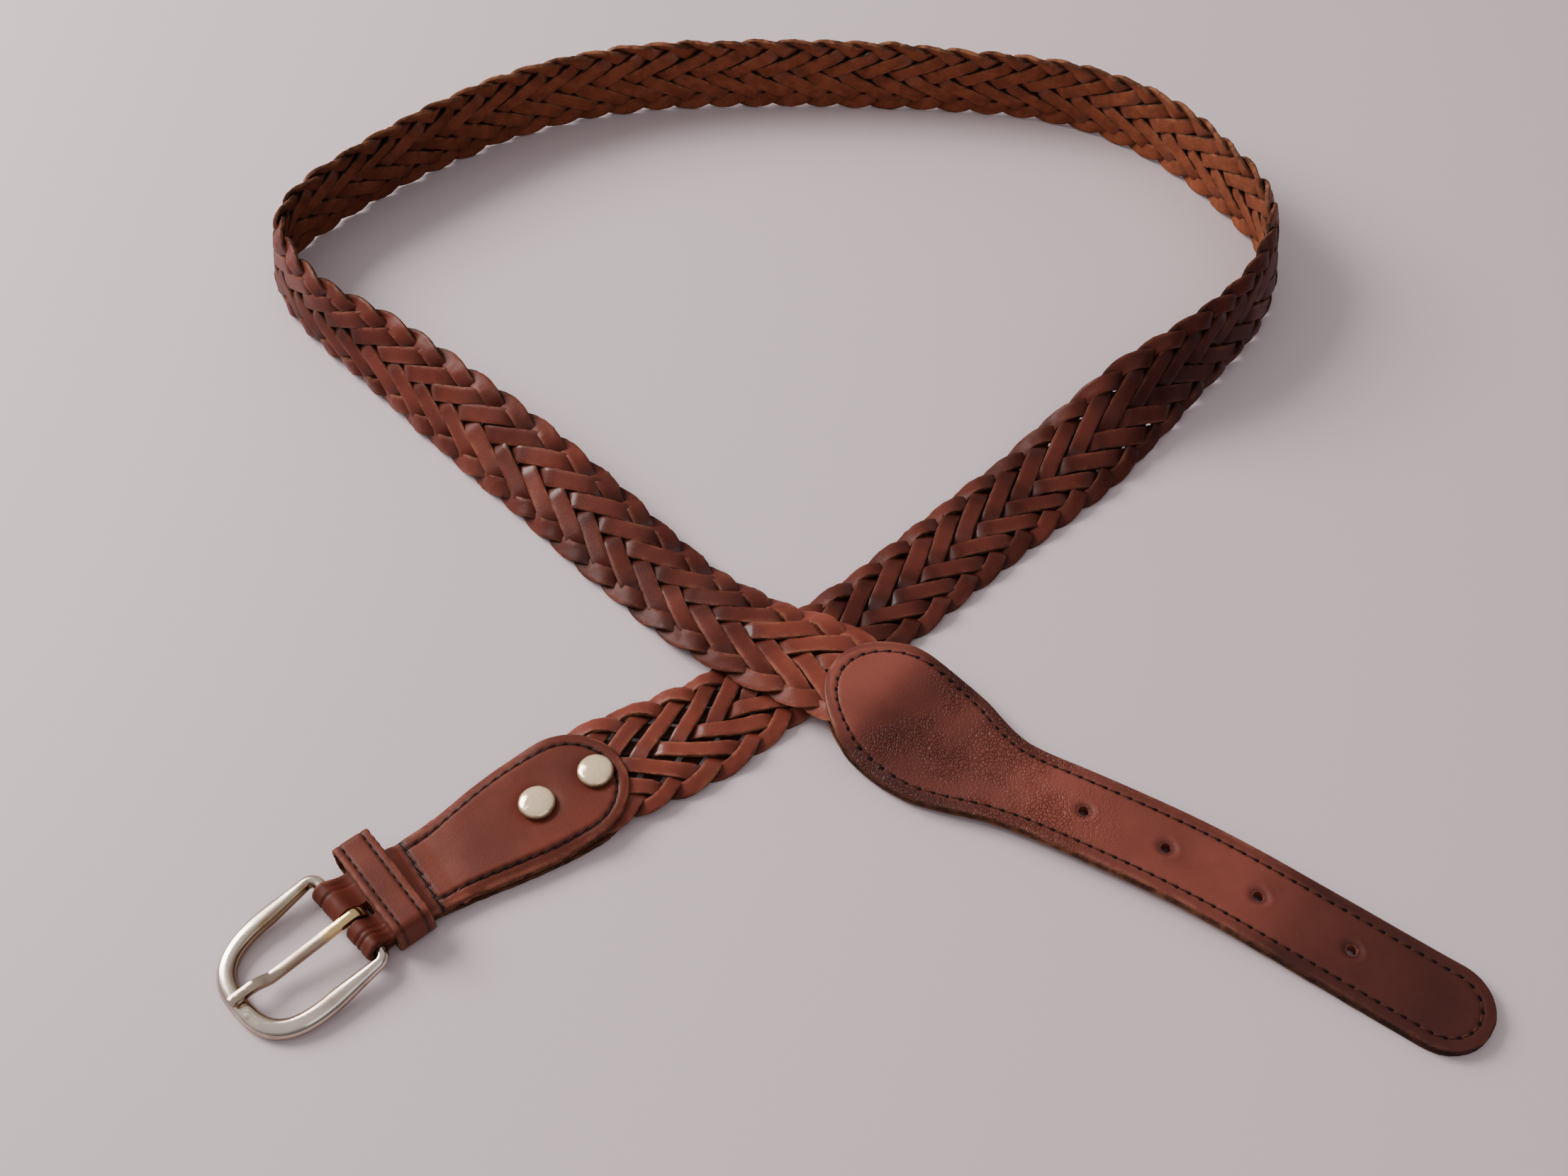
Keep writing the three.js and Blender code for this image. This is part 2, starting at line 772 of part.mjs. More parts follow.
// the rod is as thin as the bar at the bar's end and widens along the rails
const frameStations = outline.map(([reach, offset], i) => {
  const before = outline[(i + outline.length - 1) % outline.length];
  const after = outline[(i + 1) % outline.length];
  const run = new THREE.Vector3()
    .addScaledVector(forward, after[0] - before[0])
    .addScaledVector(barAcross, after[1] - before[1])
    .normalize();
  const widening = THREE.MathUtils.smoothstep(reach, frameCorner, frameTaper);
  const halfWidth = THREE.MathUtils.lerp(barRadius, rodHalfWidth, widening);
  return {
    centre: framePoint(reach, offset + frameShift, 0),
    across: new THREE.Vector3().crossVectors(run, frameUp).setLength(halfWidth / rodHalfWidth),
    up: frameUp,
  };
});
const buckleFrame = rod(frameStations, rodHalfWidth, rodHalfHeight, 10, true);

// the prong curls round the bar, dips, and steps up onto the bow; it stands a little askew
const prongAlong = forward.clone().applyAxisAngle(frameUp, rad(-prongTurn));
const prongAcross = barAcross.clone().applyAxisAngle(frameUp, rad(-prongTurn));
const prongReach = frameReach + prongOverhang;
const prongRest = rodHalfHeight + prongClearance + prongThickness / 2;
const prongPath = [];
const curlSteps = 12;
const curlStart = rad(-70);
for (let i = 0; i < curlSteps; i++) {
  const angle = THREE.MathUtils.lerp(curlStart, -2 * Math.PI + rad(92), i / curlSteps);
  prongPath.push([Math.cos(angle) * prongLoop, Math.sin(angle) * prongLoop]);
}
for (const { at, height } of prongShape) {
  prongPath.push([at * prongReach, height * prongRest]);
}
const prongStations = prongPath.map(([reach, height], i) => {
  const before = prongPath[Math.max(i - 1, 0)];
  const after = prongPath[Math.min(i + 1, prongPath.length - 1)];
  const run = new THREE.Vector3()
    .addScaledVector(prongAlong, after[0] - before[0])
    .addScaledVector(frameUp, after[1] - before[1])
    .normalize();
  return {
    centre: framePoint(0, prongShift, height).addScaledVector(prongAlong, reach),
    across: prongAcross,
    up: new THREE.Vector3().crossVectors(run, prongAcross).normalize(),
  };
});
const prong = rod(prongStations, prongWidth / 2, prongThickness / 2, 8, false);

// rivets

function rivetAt(s) {
  const seat = chapeUpper(s) + leatherThickness + layerGap;
  const profile = [
    [0, 0],
    [rivetBackDiameter / 2, 0],
    [rivetBackDiameter / 2, rivetBackThickness],
    [rivetPostDiameter / 2, rivetBackThickness],
    [rivetPostDiameter / 2, seat],
    [rivetCapDiameter / 2, seat],
  ].map(([x, y]) => new THREE.Vector2(x, y));
  const domeSteps = 6;
  const brim = 0.3;
  for (let i = 0; i <= domeSteps; i++) {
    const angle = (Math.PI / 2) * (i / domeSteps);
    profile.push(new THREE.Vector2(
      i === domeSteps ? 0 : (rivetCapDiameter / 2) * Math.cos(angle),
      seat + rivetCapHeight * (brim + (1 - brim) * Math.sin(angle)),
    ));
  }
  const rivet = new THREE.LatheGeometry(profile, 18);
  rivet.rotateX(Math.PI / 2);
  const place = planAt(s, 0);
  rivet.translate(place.x, place.y, 0);
  return rivet;
}

// assembly

const leather = { color: 0x6f3324, roughness: 0.5, metalness: 0 };
const nickel = { color: 0xc9c2b4, roughness: 0.22, metalness: 1 };

const group = new THREE.Group();
const pieces = [
  ['braid_band', braid, leather],
  ['chape', chape, leather],
  ['keeper', keeper, leather],
  ['tip_top', tipTop, leather],
  ['tip_bottom', tipBottom, leather],
  ['buckle_frame', buckleFrame, nickel],
  ['prong', prong, nickel],
  ['rivet_end', rivetAt(rivetPlaces[0]), nickel],
  ['rivet_inner', rivetAt(rivetPlaces[1]), nickel],
];
const box = new THREE.Box3();
for (const [name, geometry, finish] of pieces) {
  const mesh = new THREE.Mesh(geometry, new THREE.MeshStandardMaterial(finish));
  mesh.name = name;
  group.add(mesh);
  geometry.computeBoundingBox();
  box.union(geometry.boundingBox);
}
const middle = box.getCenter(new THREE.Vector3());
group.position.set(-middle.x, -middle.y, -box.min.z);

export default group;
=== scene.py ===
# Braided leather belt lying in a crossed loop: nine plaited strips that stand on their edge round
# the back, a stitched tip piece with four holes, and a riveted chape with its keeper and buckle.
# Lengths in the tables are millimetres, and the meshes are in metres.

import math

import bmesh
import bpy
from mathutils import Matrix, Vector, kdtree, noise


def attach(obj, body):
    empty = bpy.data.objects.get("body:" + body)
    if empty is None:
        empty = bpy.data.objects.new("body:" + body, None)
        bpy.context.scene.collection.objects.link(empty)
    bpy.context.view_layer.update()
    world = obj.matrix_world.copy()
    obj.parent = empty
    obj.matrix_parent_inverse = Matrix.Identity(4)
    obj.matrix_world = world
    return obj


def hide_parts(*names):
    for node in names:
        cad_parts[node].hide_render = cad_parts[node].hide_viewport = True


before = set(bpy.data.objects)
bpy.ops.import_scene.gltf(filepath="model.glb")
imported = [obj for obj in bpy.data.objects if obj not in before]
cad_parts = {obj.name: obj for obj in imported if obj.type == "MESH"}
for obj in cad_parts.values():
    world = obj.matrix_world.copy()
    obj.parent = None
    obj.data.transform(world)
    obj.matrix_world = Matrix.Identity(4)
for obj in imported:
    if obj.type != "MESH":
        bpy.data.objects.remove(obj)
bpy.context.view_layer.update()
print("frame loaded")

# camera at the photograph's angle
photo = {
    "focalPixels": 2550,
    "imageWidth": 2212,
    "lookDown": 53.5,
    "eye": (-0.00369, -0.3423, 0.412),
}

# soft studio light: the air is bright on one side and dim on the other, and each lamp looks at the
# middle of the belt
studio = {
    "bright": (1.0, 0.985, 0.97, 0.68),
    "dim": (0.95, 0.93, 1.0, 0.19),
    "brightWay": (-0.42, 0.34, 0.84),
    "brightReach": (-0.1, 0.95),
    "floor": (0.64, 0.52, 0.545),
    "floorRough": 0.6,
    "floorSize": 7,
    "lamps": [
        {"name": "key_light", "at": (-1, 0.46, 0.78), "size": 0.7, "watts": 25, "tint": (1, 0.975, 0.95)},
        {"name": "fill_light", "at": (0.6, -0.9, 1.2), "size": 1.1, "watts": 3, "tint": (0.95, 0.97, 1)},
    ],
}


def newMaterial(name):
    material = bpy.data.materials.new(name)
    material.use_nodes = True
    return material, material.node_tree


def finishMesh(name, bm, sharp=50):
    mesh = bpy.data.meshes.new(name)
    bm.to_mesh(mesh)
    bm.free()
    mesh.shade_smooth()
    mesh.set_sharp_from_angle(angle=math.radians(sharp))
    piece = bpy.data.objects.new(name, mesh)
    bpy.context.collection.objects.link(piece)
    return piece


def addNode(tree, kind, settings=None, inputs=None):
    node = tree.nodes.new(kind)
    for key, value in (settings or {}).items():
        setattr(node, key, value)
    for key, value in (inputs or {}).items():
        if isinstance(value, bpy.types.NodeSocket):
            tree.links.new(value, node.inputs[key])
        else:
            node.inputs[key].default_value = value
    return node


def mixColours(tree, share, first, second, blend="MIX"):
    node = addNode(tree, "ShaderNodeMix", {"data_type": "RGBA", "blend_type": blend})
    for key, value in ((0, share), (6, first), (7, second)):
        if isinstance(value, bpy.types.NodeSocket):
            tree.links.new(value, node.inputs[key])
        else:
            node.inputs[key].default_value = value if key == 0 else (*value[:3], 1)
    return node.outputs[2]


def calculate(tree, operation, first, second, clamp=False):
    settings = {"operation": operation, "use_clamp": clamp}
    return addNode(tree, "ShaderNodeMath", settings, {0: first, 1: second}).outputs[0]


def times(tree, first, second, clamp=False):
    return calculate(tree, "MULTIPLY", first, second, clamp)


def spread(tree, value, low, high, toLow=0.0, toHigh=1.0):
    node = addNode(tree, "ShaderNodeMapRange", {"interpolation_type": "SMOOTHSTEP"},
                   {"Value": value, "From Min": low, "From Max": high, "To Min": toLow, "To Max": toHigh})
    return node.outputs["Result"]


def cloud(tree, vector, scale, detail, rough=0.5):
    return addNode(tree, "ShaderNodeTexNoise",
                   inputs={"Vector": vector, "Scale": scale, "Detail": detail, "Roughness": rough})


def addBump(tree, shader, strength, distance, height):
    values = {"Strength": strength, "Distance": distance, "Height": height}
    bump = addNode(tree, "ShaderNodeBump", inputs=values)
    tree.links.new(bump.outputs["Normal"], shader.inputs["Normal"])


def newGroup(name, inputs, outputs):
    tree = bpy.data.node_groups.new(name, "ShaderNodeTree")
    for label, kind, value in inputs:
        socket = tree.interface.new_socket(label, in_out="INPUT", socket_type=kind)
        if value is not None:
            socket.default_value = value
    for label, kind in outputs:
        tree.interface.new_socket(label, in_out="OUTPUT", socket_type=kind)
    return tree, tree.nodes.new("NodeGroupInput"), tree.nodes.new("NodeGroupOutput")


def setCamera():
    data = bpy.data.cameras.new("photo_camera")
    data.sensor_fit = "HORIZONTAL"
    data.sensor_width = 36
    data.lens = 36 * photo["focalPixels"] / photo["imageWidth"]
    data.clip_start = 0.01
    camera = bpy.data.objects.new("photo_camera", data)
    camera.location = photo["eye"]
    camera.rotation_euler = (math.radians(90 - photo["lookDown"]), 0, 0)
    bpy.context.collection.objects.link(camera)
    bpy.context.scene.camera = camera


def setStudio():
    world = bpy.data.worlds.new("studio_air")
    world.use_nodes = True
    tree = world.node_tree
    way = addNode(tree, "ShaderNodeTexCoord").outputs["Generated"]
    facing = addNode(tree, "ShaderNodeVectorMath", {"operation": "DOT_PRODUCT"},
                     {0: way, 1: studio["brightWay"]})
    dim, bright = ([c * look[3] for c in look[:3]] for look in (studio["dim"], studio["bright"]))
    air = mixColours(tree, spread(tree, facing.outputs["Value"], *studio["brightReach"]), dim, bright)
    tree.links.new(air, tree.nodes["Background"].inputs["Color"])
    bpy.context.scene.world = world
    for row in studio["lamps"]:
        data = bpy.data.lights.new(row["name"], "AREA")
        data.size = row["size"]
        data.energy = row["watts"]
        data.color = row["tint"]
        lamp = bpy.data.objects.new(row["name"], data)
        lamp.location = row["at"]
        lamp.rotation_euler = (-Vector(row["at"])).to_track_quat("-Z", "Y").to_euler()
        bpy.context.collection.objects.link(lamp)
    bm = bmesh.new()
    bmesh.ops.create_grid(bm, x_segments=1, y_segments=1, size=studio["floorSize"])
    floor = finishMesh("floor", bm)
    material, tree = newMaterial("pale_floor")
    shader = tree.nodes["Principled BSDF"]
    shader.inputs["Base Color"].default_value = (*studio["floor"], 1)
    shader.inputs["Roughness"].default_value = studio["floorRough"]
    floor.data.materials.append(material)


setCamera()
setStudio()
print("camera and light set")

# lengths along the belt from the buckle bar, with the bar's place in the frame
belt = {
    "chape": 79,
    "braid": 905,
    "tip": 187,
    "barPlace": (-110.632, -142.455),
    "leather": 1.5,
    "gap": 0.3,
    "routeStep": 1,
}
totalLength = belt["chape"] + belt["braid"] + belt["tip"]
layerStep = belt["leather"] + belt["gap"]

# heading of each part of the belt in degrees, at a share of its own length
chapeRoute = [
    (0, 44.4), (0.05, 41), (0.1, 36.5), (0.2, 34.5), (0.3, 35.2), (0.5, 35.9), (0.65, 35),
    (0.8, 33), (1, 31),
]
braidRoute = [
    (0.015, 27), (0.04, 41.5), (0.08, 38.5), (0.12, 44), (0.158, 41), (0.197, 37.5),
    (0.237, 42.1), (0.266, 51.6), (0.296, 73.9), (0.326, 114.9), (0.355, 124.5), (0.395, 148.5),
    (0.434, 171.3), (0.474, 174), (0.513, 179.3), (0.553, 182), (0.592, 193.9), (0.632, 210.4),
    (0.661, 218.7), (0.691, 223), (0.72, 231.9), (0.75, 299.2), (0.789, 322.7), (0.829, 319),
    (0.868, 319.7), (0.908, 316), (0.947, 316.7), (0.987, 334.8),
]
tipRoute = [
    (0.03, 327.7), (0.12, 316.2), (0.22, 323.6), (0.336, 333.5), (0.486, 331.7), (0.686, 326.3),
    (0.936, 325.4),
]
# lean of the band, 0 flat and 90 on its edge
braidTilt = [
    (0.12, 0), (0.16, 3), (0.187, 18), (0.209, 46), (0.229, 65.5), (0.246, 75), (0.264, 79),
    (0.301, 80), (0.325, 82.6), (0.366, 86.5), (0.41, 82), (0.443, 80.5), (0.509, 85.7),
    (0.598, 85.2), (0.642, 83.3), (0.686, 81), (0.73, 80.2), (0.775, 79.5), (0.792, 71.5),
    (0.81, 61.3), (0.828, 53.5), (0.845, 46.5), (0.863, 36.5), (0.881, 28), (0.898, 20),
    (0.916, 11.5), (0.937, 5), (0.959, 2), (0.975, 0),
]
# share of the band's width, how far it is pressed, and the leather layers under it
braidSpread = [
    (-0.07, 0.9, 1, 1), (-0.04, 1, 1, 1), (0, 1.17, 1, 1), (0.01, 1.15, 0.5, 0.5),
    (0.022, 1.12, 0, 0), (0.05, 1.01, 0, 0), (0.075, 1, 0, 0), (0.68, 1, 0, 0),
    (0.745, 0.93, 0, 0), (0.94, 0.93, 0, 0), (0.965, 0.98, 0, 0), (0.985, 1.05, 0.25, 0.3),
    (0.995, 1.08, 1, 1), (1.005, 1.04, 1, 1), (1.03, 0.96, 1, 1),
]
# share of the way from the strap's width to its oval's width
chapeOutline = [(0, 0), (0.2, 0), (0.32, 0.07), (0.43, 0.36), (0.557, 0.73), (0.68, 0.96), (0.78, 1)]
tipOutline = [
    (0.139, 1), (0.17, 0.99), (0.203, 0.9), (0.241, 0.61), (0.275, 0.3), (0.31, 0.08), (0.36, 0),
]
# how much of the braid's thickness lies between the two layers
chapeBulge = [(0, 0), (0.22, 0), (0.31, 0.55), (0.45, 1), (1, 1)]
tipBulge = [(0, 1), (0.09, 1), (0.125, 0.72), (0.2, 0.12), (0.25, 0), (1, 0)]
# height of the free tip above the table, a share of its arch's height in mm
tipArchHeight = 2.6
tipArch = [(0, 0), (0.22, 0.55), (0.4, 1), (0.55, 0.95), (0.75, 0.4), (0.92, 0), (1, 0)]


def within(value):
    return min(max(value, 0), 1)


def smoothStep(value, low, high):
    t = within((value - low) / (high - low))
    return t * t * (3 - 2 * t)


def blendTo(low, high, share):
    return low + (high - low) * share


# smooth noise from -1 to 1 that is the same in each run
def ripple(*place):
    return noise.noise(Vector(place))


def bell(distance, width):
    return math.exp(-((distance / width) ** 2))


def lookUp(rows, at, column=1):
    if at <= rows[0][0]:
        return rows[0][column]
    for low, high in zip(rows, rows[1:]):
        if at <= high[0]:
            return blendTo(low[column], high[column], (at - low[0]) / (high[0] - low[0]))
    return rows[-1][column]


def rowSlope(rows, i, column):
    if i in (0, len(rows) - 1):
        return 0
    before = (rows[i][column] - rows[i - 1][column]) / (rows[i][0] - rows[i - 1][0])
    after = (rows[i + 1][column] - rows[i][column]) / (rows[i + 1][0] - rows[i][0])
    return 2 * before * after / (before + after) if before * after > 0 else 0


# the same along a smooth curve through the rows
def easeUp(rows, at, column=1):
    if at <= rows[0][0]:
        return rows[0][column]
    for i in range(1, len(rows)):
        if at <= rows[i][0]:
            low = rows[i - 1]
            span = rows[i][0] - low[0]
            t = (at - low[0]) / span
            start = rowSlope(rows, i - 1, column) * span
            end = rowSlope(rows, i, column) * span
            rise = rows[i][column] - low[column]
            return low[column] + rise * t * t * (3 - 2 * t) + t * (t - 1) * ((t - 1) * start + t * end)
    return rows[-1][column]


headings = [(at * belt["chape"], heading) for at, heading in chapeRoute]
headings += [(belt["chape"] + at * belt["braid"], heading) for at, heading in braidRoute]
headings += [(totalLength - belt["tip"] * (1 - at), heading) for at, heading in tipRoute]

routePoints = []
walker = Vector(belt["barPlace"])
for stepIndex in range(totalLength + 2):
    routePoints.append(walker.copy())
    stepAngle = math.radians(lookUp(headings, (stepIndex + 0.5) * belt["routeStep"]))
    walker += Vector((math.cos(stepAngle), math.sin(stepAngle))) * belt["routeStep"]


def routeAt(s):
    i = min(max(int(math.floor(s)), 0), len(routePoints) - 2)
    angle = math.radians(lookUp(headings, s))
    along = Vector((math.cos(angle), math.sin(angle), 0))
    side = Vector((-math.sin(angle), math.cos(angle), 0))
    return routePoints[i].lerp(routePoints[i + 1], s - i), along, side


def planAt(s, offset):
    point, along, side = routeAt(s)
    return Vector((point.x + side.x * offset, point.y + side.y * offset))


# the upper run, from a share of the braid, is carried over the lower one, which ends at a length
drape = {"height": 3.3, "flat": 17.75, "run": 26, "upperFrom": 0.7, "lowerTo": 351}
lowerRun = routePoints[belt["chape"]:drape["lowerTo"]:2]
lowerTree = kdtree.KDTree(len(lowerRun))
for treeIndex, lowerPoint in enumerate(lowerRun):
    lowerTree.insert((*lowerPoint, 0), treeIndex)
lowerTree.balance()
upperRunStart = belt["chape"] + belt["braid"] * drape["upperFrom"]
tipStart = belt["chape"] + belt["braid"]


def drapeAt(x, y):
    nearest = lowerTree.find((x, y, 0))[2]
    return drape["height"] * (1 - smoothStep(nearest, drape["flat"], drape["flat"] + drape["run"]))


def tipUnder(u, x, y):
    return drapeAt(x, y) + tipArchHeight * easeUp(tipArch, u / belt["tip"])


def metres(x, y, z):
    return Vector((x, y, z)) * 0.001


# a point at a length along the belt, a distance across it and a height
def spotAt(s, offset, z):
    p = planAt(s, offset)
    return metres(p.x, p.y, z)


# a skin over rings of points: a grid is wrapped round them, its seam joined and its ends closed
def skinRings(name, rings, masks, loop=False, sharp=50):
    rows = len(rings)
    count = len(rings[0])
    steps = rows if loop else rows - 1
    length = sum((rings[i][0] - rings[i - 1][0]).length for i in range(1, rows))
    middle = rings[rows // 2]
    girth = sum((middle[j] - middle[j - 1]).length for j in range(count))
    bm = bmesh.new()
    uvLayer = bm.loops.layers.uv.new("surface")
    maskLayers = {key: bm.verts.layers.float.new(key) for key in masks}
    bmesh.ops.create_grid(bm, x_segments=steps, y_segments=count, size=0.5)
    for face in bm.faces:
        for corner in face.loops:
            place = corner.vert.co
            corner[uvLayer].uv = ((place.x + 0.5) * length, (place.y + 0.5) * girth)
    for vert in bm.verts:
        i = round((vert.co.x + 0.5) * steps) % rows
        j = round((vert.co.y + 0.5) * count) % count
        vert.co = rings[i][j]
        for key, layer in maskLayers.items():
            vert[layer] = masks[key](i, j)
    bmesh.ops.remove_doubles(bm, verts=bm.verts, dist=1e-7)
    if not loop:
        rim = [edge for edge in bm.edges if edge.is_boundary]
        bmesh.ops.holes_fill(bm, edges=rim, sides=0)
    bmesh.ops.recalc_face_normals(bm, faces=bm.faces)
    return finishMesh(name, bm, sharp)


def dress(piece, material, body, slotName, *nodes):
    piece.data.materials.clear()
    piece.data.materials.append(material)
    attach(piece, body)
    if nodes:
        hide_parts(*nodes)


# takes the cutters' shapes out of a piece
def cutAway(piece, cutters):
    for cutter in cutters:
        modifier = piece.modifiers.new("cut", "BOOLEAN")
        modifier.operation = "DIFFERENCE"
        modifier.solver = "EXACT"
        modifier.object = cutter
    graph = bpy.context.evaluated_depsgraph_get()
    mesh = bpy.data.meshes.new_from_object(piece.evaluated_get(graph))
    piece.modifiers.clear()
    oldMesh = piece.data
    piece.data = mesh
    bpy.data.meshes.remove(oldMesh)
    for cutter in cutters:
        cutterMesh = cutter.data
        bpy.data.objects.remove(cutter)
        bpy.data.meshes.remove(cutterMesh)
    mesh.name = piece.name
    mesh.set_sharp_from_angle(angle=math.radians(50))


def makeDrill(name, place, radius, depth, segments):
    bm = bmesh.new()
    bmesh.ops.create_cone(bm, cap_ends=True, segments=segments, radius1=radius * 0.001,
                          radius2=radius * 0.001, depth=depth * 0.001, matrix=place)
    return finishMesh(name, bm)


def uprightDrill(name, s, low, high, radius):
    place = Matrix.Translation(spotAt(s, 0, (low + high) / 2))
    return makeDrill(name, place, radius, high - low, 28)


floatKind = "NodeSocketFloat"
vectorKind = "NodeSocketVector"


# pebbled grain with pores and a slow mottling
def makeGrainGroup():
    tree, source, sink = newGroup(
        "leather_grain",
        [("Vector", vectorKind, None), ("Pebble Scale", floatKind, 900.0), ("Pebble", floatKind, 0.5)],
        [("Height", floatKind), ("Mottle", floatKind), ("Pores", floatKind)],
    )
    vector = source.outputs["Vector"]
    warp = cloud(tree, vector, 420.0, 3.0)
    shifted = addNode(tree, "ShaderNodeVectorMath", {"operation": "MULTIPLY_ADD"},
                      {0: warp.outputs["Color"], 1: (0.0011, 0.0011, 0.0011), 2: vector})
    cells = addNode(tree, "ShaderNodeTexVoronoi", {"feature": "DISTANCE_TO_EDGE"},
                    {"Vector": shifted.outputs[0], "Scale": source.outputs["Pebble Scale"]})
    creases = spread(tree, cells.outputs["Distance"], 0.0, 0.18)
    patches = cloud(tree, vector, 90.0, 2.0)
    creased = times(tree, creases, spread(tree, patches.outputs["Fac"], 0.35, 0.65, 0.15, 1.0))
    fine = cloud(tree, vector, 2600.0, 4.0, 0.6)
    pebbled = times(tree, creased, source.outputs["Pebble"])
    height = calculate(tree, "ADD", pebbled, times(tree, fine.outputs["Fac"], 0.35))
    slow = cloud(tree, vector, 38.0, 5.0, 0.55)
    pores = addNode(tree, "ShaderNodeTexVoronoi", inputs={"Vector": vector, "Scale": 1500.0})
    tree.links.new(height, sink.inputs["Height"])
    tree.links.new(spread(tree, slow.outputs["Fac"], 0.32, 0.68), sink.inputs["Mottle"])
    tree.links.new(spread(tree, pores.outputs["Distance"], 0.16, 0.05), sink.inputs["Pores"])
    return tree


# raw fibres of cut edges and of the flesh side
def makeFibreGroup():
    tree, source, sink = newGroup(
        "raw_fibres",
        [("Vector", vectorKind, None), ("Scale", floatKind, 1500.0)],
        [("Height", floatKind), ("Tone", floatKind)],
    )
    vector = source.outputs["Vector"]
    fuzz = cloud(tree, vector, source.outputs["Scale"], 6.0, 0.75)
    clumps = cloud(tree, vector, 260.0, 3.0, 0.6)
    height = calculate(tree, "ADD", fuzz.outputs["Fac"], times(tree, clumps.outputs["Fac"], 0.8))
    tree.links.new(height, sink.inputs["Height"])
    tree.links.new(spread(tree, clumps.outputs["Fac"], 0.35, 0.65), sink.inputs["Tone"])
    return tree


# rubbed corners: the mask of an edge broken up by noise
def makeWearGroup():
    tree, source, sink = newGroup(
        "edge_wear",
        [("Vector", vectorKind, None), ("Edge", floatKind, 0.0), ("Amount", floatKind, 0.5)],
        [("Mask", floatKind)],
    )
    patches = cloud(tree, source.outputs["Vector"], 160.0, 5.0, 0.7)
    broken = spread(tree, patches.outputs["Fac"], 0.42, 0.62)
    worn = times(tree, broken, source.outputs["Edge"])
    mask = times(tree, worn, source.outputs["Amount"], True)
    tree.links.new(mask, sink.inputs["Mask"])
    return tree


# fine scratches, smears and tarnish of the nickel; the smears and tarnish blotches also stand for painted
# reflection patches in its colour
def makeMetalGroup():
    tree, source, sink = newGroup(
        "nickel_wear",
        [("Vector", vectorKind, None)],
        [("Scratches", floatKind), ("SmearsAndReflections", floatKind), ("TarnishAndReflections", floatKind)],
    )
    vector = source.outputs["Vector"]
    stretched = addNode(tree, "ShaderNodeMapping", inputs={
        "Vector": vector, "Rotation": (0.2, 0.3, 0.78), "Scale": (260.0, 5200.0, 3000.0)})
    lines = cloud(tree, stretched.outputs["Vector"], 1.0, 3.0)
    smearsAndReflections = cloud(tree, vector, 75.0, 2.0)
    blotches = cloud(tree, vector, 150.0, 3.0, 0.55)
    tree.links.new(spread(tree, lines.outputs["Fac"], 0.56, 0.7), sink.inputs["Scratches"])
    tree.links.new(spread(tree, smearsAndReflections.outputs["Fac"], 0.35, 0.7), sink.inputs["SmearsAndReflections"])
    tree.links.new(spread(tree, blotches.outputs["Fac"], 0.5, 0.72), sink.inputs["TarnishAndReflections"])
    return tree


grainGroup = makeGrainGroup()
fibreGroup = makeFibreGroup()
wearGroup = makeWearGroup()
metalGroup = makeMetalGroup()

# colours are linear, pebble is how strong the grain stands, rough the range of the grain side's gloss
# the dark tint that stain and painted shade multiply the leather towards
darkeningTint = (0.26, 0.22, 0.23)
leathers = {
    "braid_leather": {
        "dark": (0.125, 0.025, 0.016), "light": (0.225, 0.05, 0.031), "worn": (0.36, 0.125, 0.075),
        "flesh": (0.25, 0.07, 0.033), "raw": (0.26, 0.1, 0.05), "painted_shade": (0.01, 0.003, 0.002),
        "pebble": 0.3, "pebbleScale": 1100.0, "rough": (0.33, 0.47), "bump": 0.000224, "wear": 0.75,
        "specular": 0.12, "coat": 0.42,
    },
    "strap_leather": {
        "dark": (0.12, 0.025, 0.015), "light": (0.205, 0.045, 0.027), "worn": (0.32, 0.1, 0.06),
        "flesh": (0.15, 0.05, 0.024), "raw": (0.2, 0.078, 0.04), "painted_shade": (0.009, 0.003, 0.002),
        "pebble": 0.3, "pebbleScale": 1000.0, "rough": (0.36, 0.5), "bump": 0.000208, "wear": 0.8,
        "specular": 0.16, "coat": 0.0,
    },
    "tip_leather": {
        "dark": (0.165, 0.038, 0.025), "light": (0.24, 0.059, 0.041), "worn": (0.36, 0.13, 0.08),
        "flesh": (0.15, 0.05, 0.024), "raw": (0.26, 0.1, 0.048), "painted_shade": (0.009, 0.003, 0.002),
        "pebble": 1.4, "pebbleScale": 900.0, "rough": (0.36, 0.48), "bump": 0.000256, "wear": 0.6,
        "specular": 0.22, "coat": 0.0,
    },
}


